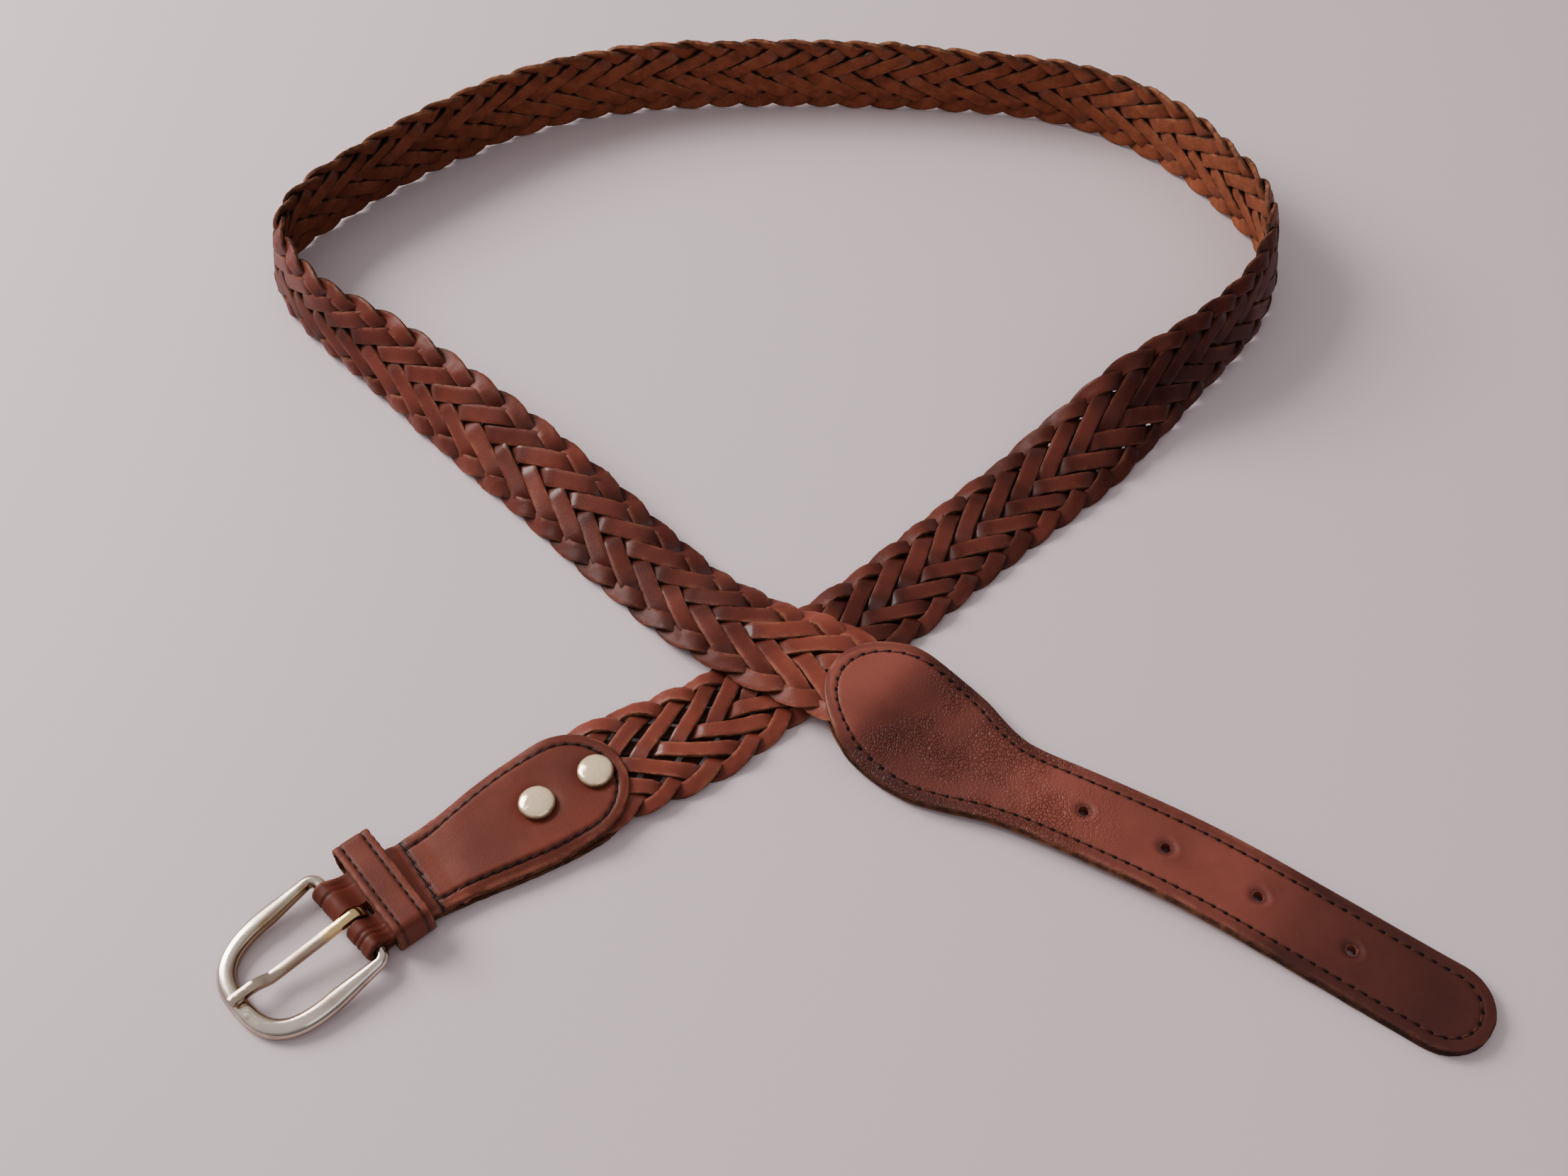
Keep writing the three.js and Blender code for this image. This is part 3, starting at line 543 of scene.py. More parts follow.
def makeLeather(name):
    look = leathers[name]
    material, tree = newMaterial(name)
    shader = tree.nodes["Principled BSDF"]
    place = addNode(tree, "ShaderNodeTexCoord").outputs["Object"]
    wall, flesh, painted_shade, edge, stain_and_shade, polish, pebbled = (
        addNode(tree, "ShaderNodeAttribute", {"attribute_name": key}).outputs["Fac"]
        for key in ("wall", "flesh", "painted_shade", "edge", "stain_and_shade", "polish", "pebbled")
    )
    grain = addNode(tree, "ShaderNodeGroup", {"node_tree": grainGroup},
                    {"Vector": place, "Pebble Scale": look["pebbleScale"],
                     "Pebble": times(tree, pebbled, look["pebble"])})
    fibres = addNode(tree, "ShaderNodeGroup", {"node_tree": fibreGroup}, {"Vector": place, "Scale": 1500.0})
    wear = addNode(tree, "ShaderNodeGroup", {"node_tree": wearGroup},
                   {"Vector": place, "Edge": edge, "Amount": look["wear"]})
    colour = mixColours(tree, grain.outputs["Mottle"], look["dark"], look["light"])
    colour = mixColours(tree, times(tree, grain.outputs["Pores"], 0.35), colour, look["dark"])
    colour = mixColours(tree, wear.outputs["Mask"], colour, look["worn"])
    rawColour = mixColours(tree, fibres.outputs["Tone"], look["raw"], [c * 0.3 for c in look["raw"]])
    fleshColour = mixColours(tree, fibres.outputs["Tone"], look["flesh"], [c * 0.72 for c in look["flesh"]])
    colour = mixColours(tree, flesh, colour, fleshColour)
    colour = mixColours(tree, wall, colour, rawColour)
    # the leather's own stain and painted shade, from the tables along the belt, multiply the colour towards
    # a dark tint
    colour = mixColours(tree, stain_and_shade, colour, darkeningTint, "MULTIPLY")
    # painted shade: the colour goes near-black where the mask marks seam grooves, stitch holes, fold
    # creases and the places where strips dive under
    colour = mixColours(tree, painted_shade, colour, look["painted_shade"])
    tree.links.new(colour, shader.inputs["Base Color"])
    roughCut = calculate(tree, "MAXIMUM", wall, flesh)
    gloss = spread(tree, grain.outputs["Mottle"], 0.0, 1.0, look["rough"][1], look["rough"][0])
    roughness = addNode(tree, "ShaderNodeMix", inputs={0: roughCut, 2: gloss, 3: 0.9}).outputs[0]
    tree.links.new(roughness, shader.inputs["Roughness"])
    heights = {0: roughCut, 2: grain.outputs["Height"], 3: fibres.outputs["Height"]}
    relief = addNode(tree, "ShaderNodeMix", inputs=heights).outputs[0]
    addBump(tree, shader, 1.0, look["bump"], relief)
    shader.inputs["Specular IOR Level"].default_value = look["specular"]
    if look["coat"]:
        smooth = calculate(tree, "SUBTRACT", 1.0, grain.outputs["Pores"])
        coat = times(tree, times(tree, smooth, polish), look["coat"])
        tree.links.new(coat, shader.inputs["Coat Weight"])
        shader.inputs["Coat Roughness"].default_value = 0.19
    return material


# its first colour is the brown that tarnish, painted shade and painted reflection turn the nickel towards
nickel = {
    "brownTarnishAndShade": (0.26, 0.17, 0.1), "brass": (0.72, 0.5, 0.22), "rough": (0.13, 0.28), "scratch": 0.000008,
}


def makeNickel(name, tarnishAndReflection, bright, reflectionPatch, metallic=1.0):
    material, tree = newMaterial(name)
    shader = tree.nodes["Principled BSDF"]
    place = addNode(tree, "ShaderNodeTexCoord").outputs["Object"]
    wear = addNode(tree, "ShaderNodeGroup", {"node_tree": metalGroup}, {"Vector": place})
    painted_shade = addNode(tree, "ShaderNodeAttribute", {"attribute_name": "painted_shade"}).outputs["Fac"]
    gilt = addNode(tree, "ShaderNodeAttribute", {"attribute_name": "gilt"}).outputs["Fac"]
    # painted reflection: smear patches darken the nickel towards a duller colour, partly smudges and partly
    # the dark reflections of the rod
    colour = mixColours(tree, times(tree, wear.outputs["SmearsAndReflections"], 0.75), bright, reflectionPatch)
    # tarnish blotches, partly painted reflection, and the painted shade mask turn it brown
    tarnishAndShade = calculate(tree, "ADD", times(tree, wear.outputs["TarnishAndReflections"], tarnishAndReflection), painted_shade, True)
    colour = mixColours(tree, tarnishAndShade, colour, nickel["brownTarnishAndShade"])
    colour = mixColours(tree, gilt, colour, nickel["brass"])
    tree.links.new(colour, shader.inputs["Base Color"])
    shader.inputs["Metallic"].default_value = metallic
    roughness = spread(tree, wear.outputs["SmearsAndReflections"], 0.0, 1.0, *nickel["rough"])
    tree.links.new(roughness, shader.inputs["Roughness"])
    addBump(tree, shader, 0.5, nickel["scratch"], wear.outputs["Scratches"])
    return material


def makeThread(name, colour):
    material, tree = newMaterial(name)
    shader = tree.nodes["Principled BSDF"]
    place = addNode(tree, "ShaderNodeTexCoord").outputs["Object"]
    fibres = addNode(tree, "ShaderNodeGroup", {"node_tree": fibreGroup}, {"Vector": place, "Scale": 4000.0})
    tone = mixColours(tree, fibres.outputs["Tone"], colour, [c * 0.55 for c in colour])
    tree.links.new(tone, shader.inputs["Base Color"])
    shader.inputs["Roughness"].default_value = 0.75
    shader.inputs["Specular IOR Level"].default_value = 0.12
    addBump(tree, shader, 0.6, 0.00008, fibres.outputs["Height"])
    return material


braidLeather = makeLeather("braid_leather")
strapLeather = makeLeather("strap_leather")
tipLeather = makeLeather("tip_leather")
frameNickel = makeNickel("frame_nickel", 0.6, (0.74, 0.63, 0.54), (0.25, 0.19, 0.145))
# a darker copy of the frame's nickel: painted shade and dark reflection on the prong
prongShadedNickel = makeNickel("prong_nickel_shaded", 0.5, (0.42, 0.33, 0.26), (0.22, 0.155, 0.115))
rivetNickel = makeNickel("rivet_nickel", 0.15, (1.0, 0.75, 0.5), (0.98, 0.66, 0.42), 0.6)
chapeThread = makeThread("chape_thread", (0.032, 0.011, 0.007))
tipThread = makeThread("tip_thread", (0.085, 0.027, 0.018))
# near-black painted shade for the stitch holes
holeShade = makeThread("stitch_hole_painted_shade", (0.009, 0.003, 0.002))
print("materials made")

# the braid: nine flat strips, over one, under three, over three, under one
plait = {
    "start": 25,
    "end": 1007,
    "strands": 9,
    "pitch": 11.5,
    "traverse": 4.5,
    "bandWidth": 29.5,
    "bandThickness": 3,
    "pressed": 0.72,
    "stripWidth": 5.3,
    "weaveHeight": 0.98,
    "turnShare": 0.12,
    "turnRoll": 24,
    "wander": 0.5,
    "fray": 0.17,
    "crumple": 0.34,
    "arch": 0.16,
    "heave": 0.2,
    "twist": 11,
    "widthChange": 0.1,
    "stainChange": 0.22,
    # painted shade towards the ends of each visible stretch of a strip, and an offset of it along the whole
    # strip
    "endShade": 0.24,
    "middleShade": -0.05,
    "edgeShine": 0.1,
    # how dark the painted shade is where a strip dives under the next
    "diveShade": 0.85,
    "step": 1.1,
}
# near the chape the strips are drawn thinner: from and to where they widen again, and by what share
narrowing = [(95, 140, 0.13), (280, 340, 0.05)]
# where a strip changes its height in one traverse: crossing, change and half the length it takes
weaveSteps = [(0, 2, 0.95), (1.5, -2, 0.4), (4.5, 2, 0.4), (7.5, -2, 0.4), (9, 2, 0.95)]
dives = [step[0] for step in weaveSteps[1:-1]]
# a strip's section: share of its width, height above its middle in mm, wall, flesh, rubbed edge
stripSection = [
    (-0.485, 0.6, 0.35, 0, 1), (-0.44, 0.74, 0, 0, 0.7), (-0.28, 0.79, 0, 0, 0.1), (-0.1, 0.8, 0, 0, 0),
    (0.1, 0.8, 0, 0, 0), (0.28, 0.79, 0, 0, 0.1), (0.44, 0.74, 0, 0, 0.7), (0.485, 0.6, 0.35, 0, 1),
    (0.5, 0.35, 1, 0, 0.3), (0.505, -0.15, 1, 0.2, 0), (0.48, -0.6, 1, 0.6, 0), (0.38, -0.76, 0, 1, 0),
    (0.12, -0.79, 0, 1, 0), (-0.12, -0.79, 0, 1, 0), (-0.38, -0.76, 0, 1, 0), (-0.48, -0.6, 1, 0.6, 0),
    (-0.505, -0.15, 1, 0.2, 0), (-0.5, 0.35, 1, 0, 0.3),
]
# how much darker the leather is drawn along the belt: partly its own stain, partly painted shade where the
# band faces away from the light
braidStainAndShade = [
    (25, 0.1), (135, 0.05), (160, 0.8), (250, 0.8), (345, 0.78), (368, 0.05), (620, 0), (670, 0.3),
    (735, 0.45), (760, 0.55), (850, 0.45), (900, 0.68), (940, 0.66), (972, 0.15), (1010, 0),
]

bandStep = 0.5
spareBands = 12
firstBand = int(plait["start"] / bandStep) - spareBands
lastBand = int(plait["end"] / bandStep) + spareBands
bandFrames = []
for bandIndex in range(firstBand, lastBand + 1):
    bandAt = bandIndex * bandStep
    bandShare = (bandAt - belt["chape"]) / belt["braid"]
    bandPoint, _, bandSide = routeAt(bandAt)
    lean = math.radians(easeUp(braidTilt, bandShare))
    bandHalf = plait["bandWidth"] / 2 * easeUp(braidSpread, bandShare)
    bandPress = blendTo(1, plait["pressed"], easeUp(braidSpread, bandShare, 2))
    lift = layerStep * easeUp(braidSpread, bandShare, 3)
    foot = bandHalf * math.sin(lean) + plait["bandThickness"] / 2 * bandPress * math.cos(lean) + lift
    across = bandSide * math.cos(lean) + Vector((0, 0, math.sin(lean)))
    faceUp = bandSide * -math.sin(lean) + Vector((0, 0, math.cos(lean)))
    bandFrames.append((Vector((bandPoint.x, bandPoint.y, foot)), across, faceUp, bandHalf, bandPress))


# a point of the braid: along, across and over the middle of the band
def onBand(s, v, h):
    place = s / bandStep - firstBand
    i = min(max(int(place), 0), len(bandFrames) - 2)
    share = place - i
    low, high = bandFrames[i], bandFrames[i + 1]
    across = low[1].lerp(high[1], share)
    spot = low[0].lerp(high[0], share) + across * v + low[2].lerp(high[2], share) * (h * low[4])
    if s > upperRunStart:
        if s > tipStart:
            spot.z += tipUnder(s - tipStart, spot.x, spot.y)
        else:
            spot.z += drapeAt(spot.x, spot.y)
    spot.z = max(spot.z, 0.05)
    return spot * 0.001


def lookUpHalf(s):
    i = min(max(int(s / bandStep - firstBand), 0), len(bandFrames) - 1)
    return bandFrames[i][3]


# sideways place from -1 to 1 along one traverse, with a rounded turn at each end, and its slope
def sway(t):
    turn = plait["turnShare"]
    slope = 2 / (1 - turn)
    if t < turn:
        return -1 + slope * t * t / (2 * turn), slope * t / turn
    if t > 1 - turn:
        return 1 - slope * (1 - t) ** 2 / (2 * turn), slope * (1 - t) / turn
    return -1 + slope * (t - turn / 2), slope


def makeStrand(number):
    rings = []
    looks = []
    stations = int((plait["end"] - plait["start"]) / plait["step"])
    turns = 2 * plait["traverse"]
    for i in range(stations + 1):
        s = blendTo(plait["start"], plait["end"], i / stations)
        turn = (s / plait["pitch"] + number) % turns
        rising = 1 if turn < plait["traverse"] else -1
        t = turn % plait["traverse"] / plait["traverse"]
        crossing = t * turns
        place, slope = sway(t)
        reach = lookUpHalf(s) - plait["stripWidth"] / 2
        v = rising * place * reach + plait["wander"] * ripple(s * 0.07, number * 3.1, 0.5)
        pitchRun = plait["traverse"] * plait["pitch"]
        across = Vector((-rising * slope * reach / pitchRun, 1)).normalized()
        height = -1 + sum(change * smoothStep(crossing, at - half, at + half)
                          for at, change, half in weaveSteps)
        overThree = dives[0] < crossing < dives[-1]
        arch = -math.sin(math.pi * (crossing - dives[0]) / (dives[1] - dives[0])) if overThree else 0
        h = plait["weaveHeight"] * height + plait["arch"] * arch
        h += plait["heave"] * ripple(s * 0.11, number * 5.7, 2.5)
        apex = bell(crossing, 0.9) + bell(crossing - turns, 0.9)
        outward = rising if crossing > dives[1] else -rising
        roll = math.radians(plait["turnRoll"] * apex * outward
                            + plait["twist"] * ripple(s * 0.09, number * 2.3, 7.5))
        width = plait["stripWidth"] * (1 + plait["widthChange"] * ripple(s * 0.05, number * 4.4, 4.5))
        width *= 1 - sum(loss * (1 - smoothStep(s, low, high)) for low, high, loss in narrowing)
        patchy = smoothStep(ripple(s * 0.13, number * 8.1, 3.5), -0.25, 0.3)
        spotty = smoothStep(ripple(s * 0.21, number * 5.3, 6.5), 0, 0.3)
        dive = sum(bell(crossing - at, 0.4) for at in dives)
        shine = max(plait["edgeShine"] * min(apex, 1) * patchy, dive * spotty)
        # each visible stretch of a strip is painted darker towards both of its ends: painted shade where it
        # dives under its neighbours
        fromEnd = min(abs(crossing - at) for at in dives)
        stain_and_shade = easeUp(braidStainAndShade, s) + plait["stainChange"] * ripple(s * 0.04, number * 6.3, 1.5)
        stain_and_shade += plait["endShade"] * (1 - smoothStep(fromEnd, 0.35, 1.15)) + plait["middleShade"]
        looks.append((within(stain_and_shade), shine, height, min(apex, 1)))
        ring = []
        for j, (share, rise, wall, _, _) in enumerate(stripSection):
            fray = plait["fray"] * ripple(s * 1.9, j * 3.7, number * 9.1) if wall else 0
            crumple = plait["crumple"] * ripple(s * 0.75, share * 4, number * 7.7)
            crumple *= 0.15 + min(apex, 1) + 0.4 * dive * spotty
            a = share * width + fray
            b = rise + fray * 0.5 + (crumple if rise > 0 else 0)
            down = -a * math.sin(roll) + b * math.cos(roll)
            over = a * math.cos(roll) + b * math.sin(roll)
            ring.append(onBand(s + over * across.x, v + over * across.y, h + down))
        rings.append(ring)

    # painted shade lies where a strip dives under the next, on either of its sides
    def painted_shade(i, j):
        height = looks[i][2]
        grainSide = 1 - smoothStep(height, -0.8, 0.15)
        fleshSide = smoothStep(height, -0.15, 0.8)
        diveShade = fleshSide if stripSection[j][1] < -0.5 else grainSide
        return plait["diveShade"] * diveShade * (1 - looks[i][3])

    masks = {
        "wall": lambda i, j: stripSection[j][2],
        "flesh": lambda i, j: stripSection[j][3],
        "edge": lambda i, j: stripSection[j][4],
        "stain_and_shade": lambda i, j: looks[i][0],
        "polish": lambda i, j: looks[i][1],
        "painted_shade": painted_shade,
    }
    strand = skinRings(f"braid_strand_{number + 1}", rings, masks)
    dress(strand, braidLeather, "belt", "braid", "braid_band")


for strandNumber in range(plait["strands"]):
    makeStrand(strandNumber)
print("braid strands made")


# half the width of a strap with an oval and a rounded end
def strapHalf(outline, at, straight, oval, fromEnd, nose):
    half = (straight + (oval - straight) * easeUp(outline, at)) / 2
    return half * math.sqrt(max(1 - (1 - fromEnd / nose) ** 2, 0)) if fromEnd < nose else half


# the rivets' holes are drilled between two heights, with a radius
chape = {
    "width": 23.6,
    "ovalWidth": 33.6,
    "nose": 16.8,
    "barRise": 0.85,
    "foldRadius": 2.05,
    "keeperFrom": 5.4,
    "keeperWidth": 10.4,
    "keeperLift": 1.7,
    "rivetPlaces": (71.2, 53.9),
    "stitchInset": 3.3,
    "stitchPitch": 3.3,
    "stitchFrom": 20,
    "grooveDepth": 0.42,
    "grooveWidth": 0.5,
    "dotDepth": 0.25,
    "edgeRadius": 1.1,
    "edgeSag": 0.25,
    "rimDrop": 1.5,
    "rivetDent": 0.45,
    "neckDent": 0.5,
    "creases": (-8.2, -6.6, 7.6),
    "creaseDepth": 0.3,
    "creaseTo": 7,
    "unevenness": 0.14,
    "prongShift": -1,
    "slotWidth": 4.2,
    "slotRadius": 5.7,
    "rimDarkening": 0.22,
    "postDrill": (-1, 1.1, 4.1),
}
lineStep = 0.3
outlineEnd = 0.01
# how much darker the chape is drawn along it: partly its own stain, partly painted shade
chapeStainAndShade = [(0, 0.3), (20, 0.35), (24, 0.06), (44, 0.02), (56, 0.3), (70, 0.35), (79, 0.2)]
barHeight = chape["barRise"] + chape["foldRadius"] + belt["leather"]
braidSpace = plait["bandThickness"] * plait["pressed"] + belt["gap"]


def chapeHalf(u):
    return strapHalf(chapeOutline, u / belt["chape"], chape["width"], chape["ovalWidth"],
                     belt["chape"] - u, chape["nose"])


def chapeUnder(u):
    if u < chape["keeperFrom"]:
        share = smoothStep(u, 0, chape["keeperFrom"] - belt["gap"])
        return blendTo(chape["barRise"], chape["keeperLift"], share)
    past = chape["keeperFrom"] + chape["keeperWidth"]
    return chape["keeperLift"] * (1 - smoothStep(u, past, past + chape["keeperWidth"]))


def chapeUpper(u):
    closedUp = chapeUnder(u) + layerStep
    if u < chape["keeperFrom"]:
        share = smoothStep(u, 0, chape["keeperFrom"] - belt["gap"])
        return blendTo(barHeight + chape["foldRadius"], closedUp, share)
    return closedUp + braidSpace * easeUp(chapeBulge, u / belt["chape"])


# points inside an outline by a distance, as (along, across), thinned to an even spacing
def insetPath(halfAt, start, end, inset, step, closed):
    edge = []
    for i in range(401):
        share = i / 400
        u = blendTo(start, end, 0.5 - 0.5 * math.cos(math.pi * share))
        edge.append(Vector((u, halfAt(u))))
    side = []
    for i in range(1, 400):
        run = (edge[i + 1] - edge[i - 1]).normalized()
        side.append(edge[i] + Vector((run.y, -run.x)) * inset)
    side = [p for p in side if p.y > 0 and start + (inset if closed else 0) <= p.x]
    path = side + [Vector((p.x, -p.y)) for p in reversed(side)]
    if closed:
        path.append(path[0])
    even = [path[0]]
    travelled = 0
    for a, b in zip(path, path[1:]):
        span = (b - a).length
        while span > 0 and travelled + span >= step:
            a = a.lerp(b, (step - travelled) / span)
            even.append(a)
            span = (b - a).length
            travelled = 0
        travelled += span
    return even


def treeOf(points):
    tree = kdtree.KDTree(len(points))
    for i, p in enumerate(points):
        tree.insert((p.x, p.y, 0), i)
    tree.balance()
    return tree


def chapeSeamPath(step):
    return insetPath(chapeHalf, chape["stitchFrom"], belt["chape"] - outlineEnd,
                     chape["stitchInset"], step, False)


chapeStitches = chapeSeamPath(chape["stitchPitch"])
neckHalf = chapeHalf(chape["stitchFrom"]) - 0.6
neckCount = int(2 * neckHalf / chape["stitchPitch"])
neckStitches = [Vector((chape["stitchFrom"], blendTo(-neckHalf, neckHalf, i / neckCount)))
                for i in range(neckCount + 1)]
neckLine = [Vector((chape["stitchFrom"], blendTo(-neckHalf, neckHalf, i / 60))) for i in range(61)]
chapeTree = treeOf(chapeSeamPath(lineStep) + neckLine)
chapeDots = treeOf(chapeStitches + neckStitches)


def roundOff(inset, radius):
    return radius - math.sqrt(max(radius * radius - (radius - inset) ** 2, 0)) if inset < radius else 0


# the folds pressed into the leather beside the prong's slot
def creaseAt(v):
    return sum(bell(v - crease, 0.4) for crease in chape["creases"])


# height of the chape's grain side over its CAD layer, the painted shade in its seam groove and stitch dots,
# and how rubbed its edge
def chapeRelief(u, v):
    inset = min(chapeHalf(u) - abs(v), (belt["chape"] - u) * 1.1)
    sunk = chapeTree.find((u, v, 0))[2]
    dot = chapeDots.find((u, v, 0))[2]
    rise = -roundOff(inset, chape["edgeRadius"]) * 0.8
    rim = smoothStep(u, 24, 34) * (1 - smoothStep(u, 52, 66))
    rise -= chape["rimDrop"] * rim * (1 - smoothStep(inset, 0.2, 4.6))
    rise -= chape["edgeSag"] * (1 - smoothStep(inset, 0.5, 4.5))
    rise -= chape["grooveDepth"] * bell(sunk, chape["grooveWidth"])
    rise -= chape["dotDepth"] * bell(dot, 0.55)
    for place in chape["rivetPlaces"]:
        rise -= chape["rivetDent"] * bell(max(math.hypot(u - place, v) - 4.2, 0), 1.7)
    rise -= chape["neckDent"] * bell(u - chape["stitchFrom"] + 1.4, 1.1)
    if u < chape["creaseTo"]:
        fading = 1 - smoothStep(u, 3, chape["creaseTo"])
        rise -= chape["creaseDepth"] * creaseAt(v) * fading
    rise += chape["unevenness"] * ripple(u * 0.09, v * 0.12, 3.3)
    # painted shade along the seam groove and round the stitch dots
    painted_shade = min(0.9 * bell(sunk, 0.42) + 0.8 * bell(dot, 0.6), 1)
    return rise, painted_shade, bell(inset - 0.7, 0.7)


# places across a strap as shares of its half width, closer together at its edges
edgeShares = [1, 0.994, 0.982, 0.965, 0.942, 0.915]
innerColumns = 52
innerShares = [blendTo(0.89, -0.89, i / innerColumns) for i in range(innerColumns + 1)]
shares = edgeShares + innerShares + [-share for share in reversed(edgeShares)]
# the lower layers' cut edges waver in another way than the upper ones'
lowerSeed = {"chape": 40, "tip": 300}
tableGap = 0.02
seamLift = 0.02


# distances from a round end, closer together where the outline turns in
def roundEnd(radius, steps):
    return [0.12 + (radius - 0.12) * (1 - math.cos(math.pi / 2 * i / steps)) for i in range(steps + 1)]


def strapRing(points, inner):
    return points + inner[::-1]


# place across a strap, whose cut edges waver a little
def acrossAt(share, half, u):
    loss = 0.1 + 0.18 * ripple(u * 1.7, math.copysign(5, share), 0.3)
    return share * half - math.copysign(loss, share) * smoothStep(abs(share), 0.93, 1) * min(half / 12, 1)


# the band outside the seam is drawn darker on the grain side
def rimMark(j, half):
    return 1 - smoothStep((1 - abs(shares[j])) * half, 2.2, 3.4) if j < len(shares) else 0


def makeChape():
    noseList = [belt["chape"] - d for d in roundEnd(chape["nose"], 34)]
    plain = [blendTo(noseList[-1], 0, i / 110) for i in range(1, 110)]
    rings = []
    marks = []
    coarse = [u for i, u in enumerate(noseList + plain) if i % 3 == 0]
    for u in coarse:
        outer = []
        inner = []
        for share in shares:
            v = acrossAt(share, chapeHalf(u), u + lowerSeed["chape"])
            inset = (1 - abs(share)) * chapeHalf(u)
            outer.append(spotAt(u, v, max(chapeUnder(u) + roundOff(inset, 0.5) * 0.6, tableGap)))
            inner.append(spotAt(u, v, chapeUnder(u) + belt["leather"]))
        rings.append(strapRing(outer, inner))
        marks.append([(0, 0)] * len(shares))
    _, along, side = routeAt(0)
    foldSteps = 26
    for i in range(foldSteps + 1):
        angle = math.pi * i / foldSteps
        outer = []
        inner = []
        marks.append([])
        for share in shares:
            v = share * chapeHalf(0)
            inset = (1 - abs(share)) * chapeHalf(0)
            crease = creaseAt(v) * smoothStep(angle, 0.6, 1.4)
            radius = chape["foldRadius"] + belt["leather"] - chape["creaseDepth"] * crease
            radius -= roundOff(inset, 0.8) * 0.7
            radius += 0.12 * ripple(angle * 1.2, v * 0.3, 9.2)
            p = planAt(0, v)
            for ring, r in ((outer, radius), (inner, chape["foldRadius"])):
                spot = p - along.xy * (math.sin(angle) * r)
                ring.append(metres(*spot, barHeight - math.cos(angle) * r))
            # painted shade in the creases pressed into the fold
            marks[-1].append((0.75 * crease, bell(inset, 0.9)))
        rings.append(strapRing(outer, inner))
    for u in reversed(noseList + plain):
        outer = []
        inner = []
        marks.append([])
        for share in shares:
            v = acrossAt(share, chapeHalf(u), u)
            rise, painted_shade, edge = chapeRelief(u, v)
            outer.append(spotAt(u, v, chapeUpper(u) + belt["leather"] + rise))
            inner.append(spotAt(u, v, chapeUpper(u) + min(rise + 0.35, 0)))
            marks[-1].append((painted_shade, edge))
        rings.append(strapRing(outer, inner))
    masks = strapMasks(marks, len(shares))
    plan = [0] * (len(rings) - len(noseList + plain)) + list(reversed(noseList + plain))
    masks["stain_and_shade"] = lambda i, j: (easeUp(chapeStainAndShade, plan[i])
                                   + chape["rimDarkening"] * rimMark(j, chapeHalf(plan[i])))
    piece = skinRings("chape_strap", rings, masks)
    slotPlace = Matrix.Translation(spotAt(0, chape["prongShift"], barHeight))
    slotPlace = slotPlace @ side.to_track_quat("Z", "Y").to_matrix().to_4x4()
    cutters = [makeDrill("slot_cutter", slotPlace, chape["slotRadius"], chape["slotWidth"], 48)]
    cutters += [uprightDrill("post_cutter", place, *chape["postDrill"]) for place in chape["rivetPlaces"]]
    cutAway(piece, cutters)
    dress(piece, strapLeather, "belt", "strap", "chape")


# walls are where the grain side turns into the flesh side
def strapMasks(marks, width):
    return {
        "wall": lambda i, j: 1 if j % width in (0, width - 1) else 0,
        "flesh": lambda i, j: 1 if j >= width else 0,
        "painted_shade": lambda i, j: marks[i][j][0] if j < width else 0,
        "edge": lambda i, j: marks[i][j][1] if j < width else 0,
    }


makeChape()
print("chape made")


# a row of small oval stitches from hole to hole
def stitchRow(name, rows, surface, look, material):
    bm = bmesh.new()
    for points, closed in rows:
        pairs = list(zip(points, points[1:] + points[:1])) if closed else list(zip(points, points[1:]))
        for a, b in pairs:
            if (b - a).length > look["pitch"] * 1.6:
                continue
            middle = (a + b) / 2
            spot = surface(middle.x, middle.y)
            start = surface(a.x, a.y)
            end = surface(b.x, b.y)
            run = end - start
            turn = run.to_track_quat("X", "Z").to_matrix().to_4x4()
            half = (run.length * look["length"], look["thick"] * 0.001, look["thick"] * 0.0008)
            size = Matrix.Diagonal((*half, 1))
            twist = Matrix.Rotation(math.radians(look["slant"]), 4, "Z")
            bmesh.ops.create_uvsphere(bm, u_segments=8, v_segments=5, radius=1,
                                      matrix=Matrix.Translation(spot) @ turn @ twist @ size)
    row = finishMesh(name, bm, 80)
    dress(row, material, "belt", "strap")


# the nicks that the thread passes through, drawn as dark slits of painted shade: each a slit at a slant,
# crossed by a shorter one
def stitchHoles(name, points, surface, radius, slants):
    bm = bmesh.new()
    for i, p in enumerate(points):
        near = points[i - 1] if i else points[1]
        run = surface(p.x, p.y) - surface(near.x, near.y)
        turn = (run if i else -run).to_track_quat("X", "Z").to_matrix().to_4x4()
        place = Matrix.Translation(surface(p.x, p.y)) @ turn
        for slant, share in zip(slants, (1, 0.7)):
            size = Matrix.Diagonal((radius * share * 0.001, radius * 0.00048, 0.0002, 1))
            twist = Matrix.Rotation(math.radians(slant), 4, "Z")
            bmesh.ops.create_uvsphere(bm, u_segments=8, v_segments=4, radius=1, matrix=place @ twist @ size)
    holes = finishMesh(name, bm, 80)
    dress(holes, holeShade, "belt", "strap")


def chapeTop(u, v):
    return spotAt(u, v, chapeUpper(u) + belt["leather"] + chapeRelief(u, v)[0] + seamLift)


chapeSeam = {"pitch": chape["stitchPitch"], "length": 0.47, "thick": 0.3, "slant": 9}
chapeRows = [(chapeStitches, False), (neckStitches, False)]
stitchRow("chape_stitches", chapeRows, chapeTop, chapeSeam, chapeThread)
stitchHoles("chape_stitch_holes", chapeStitches + neckStitches, chapeTop, 0.6, (40,))
print("chape stitches made")

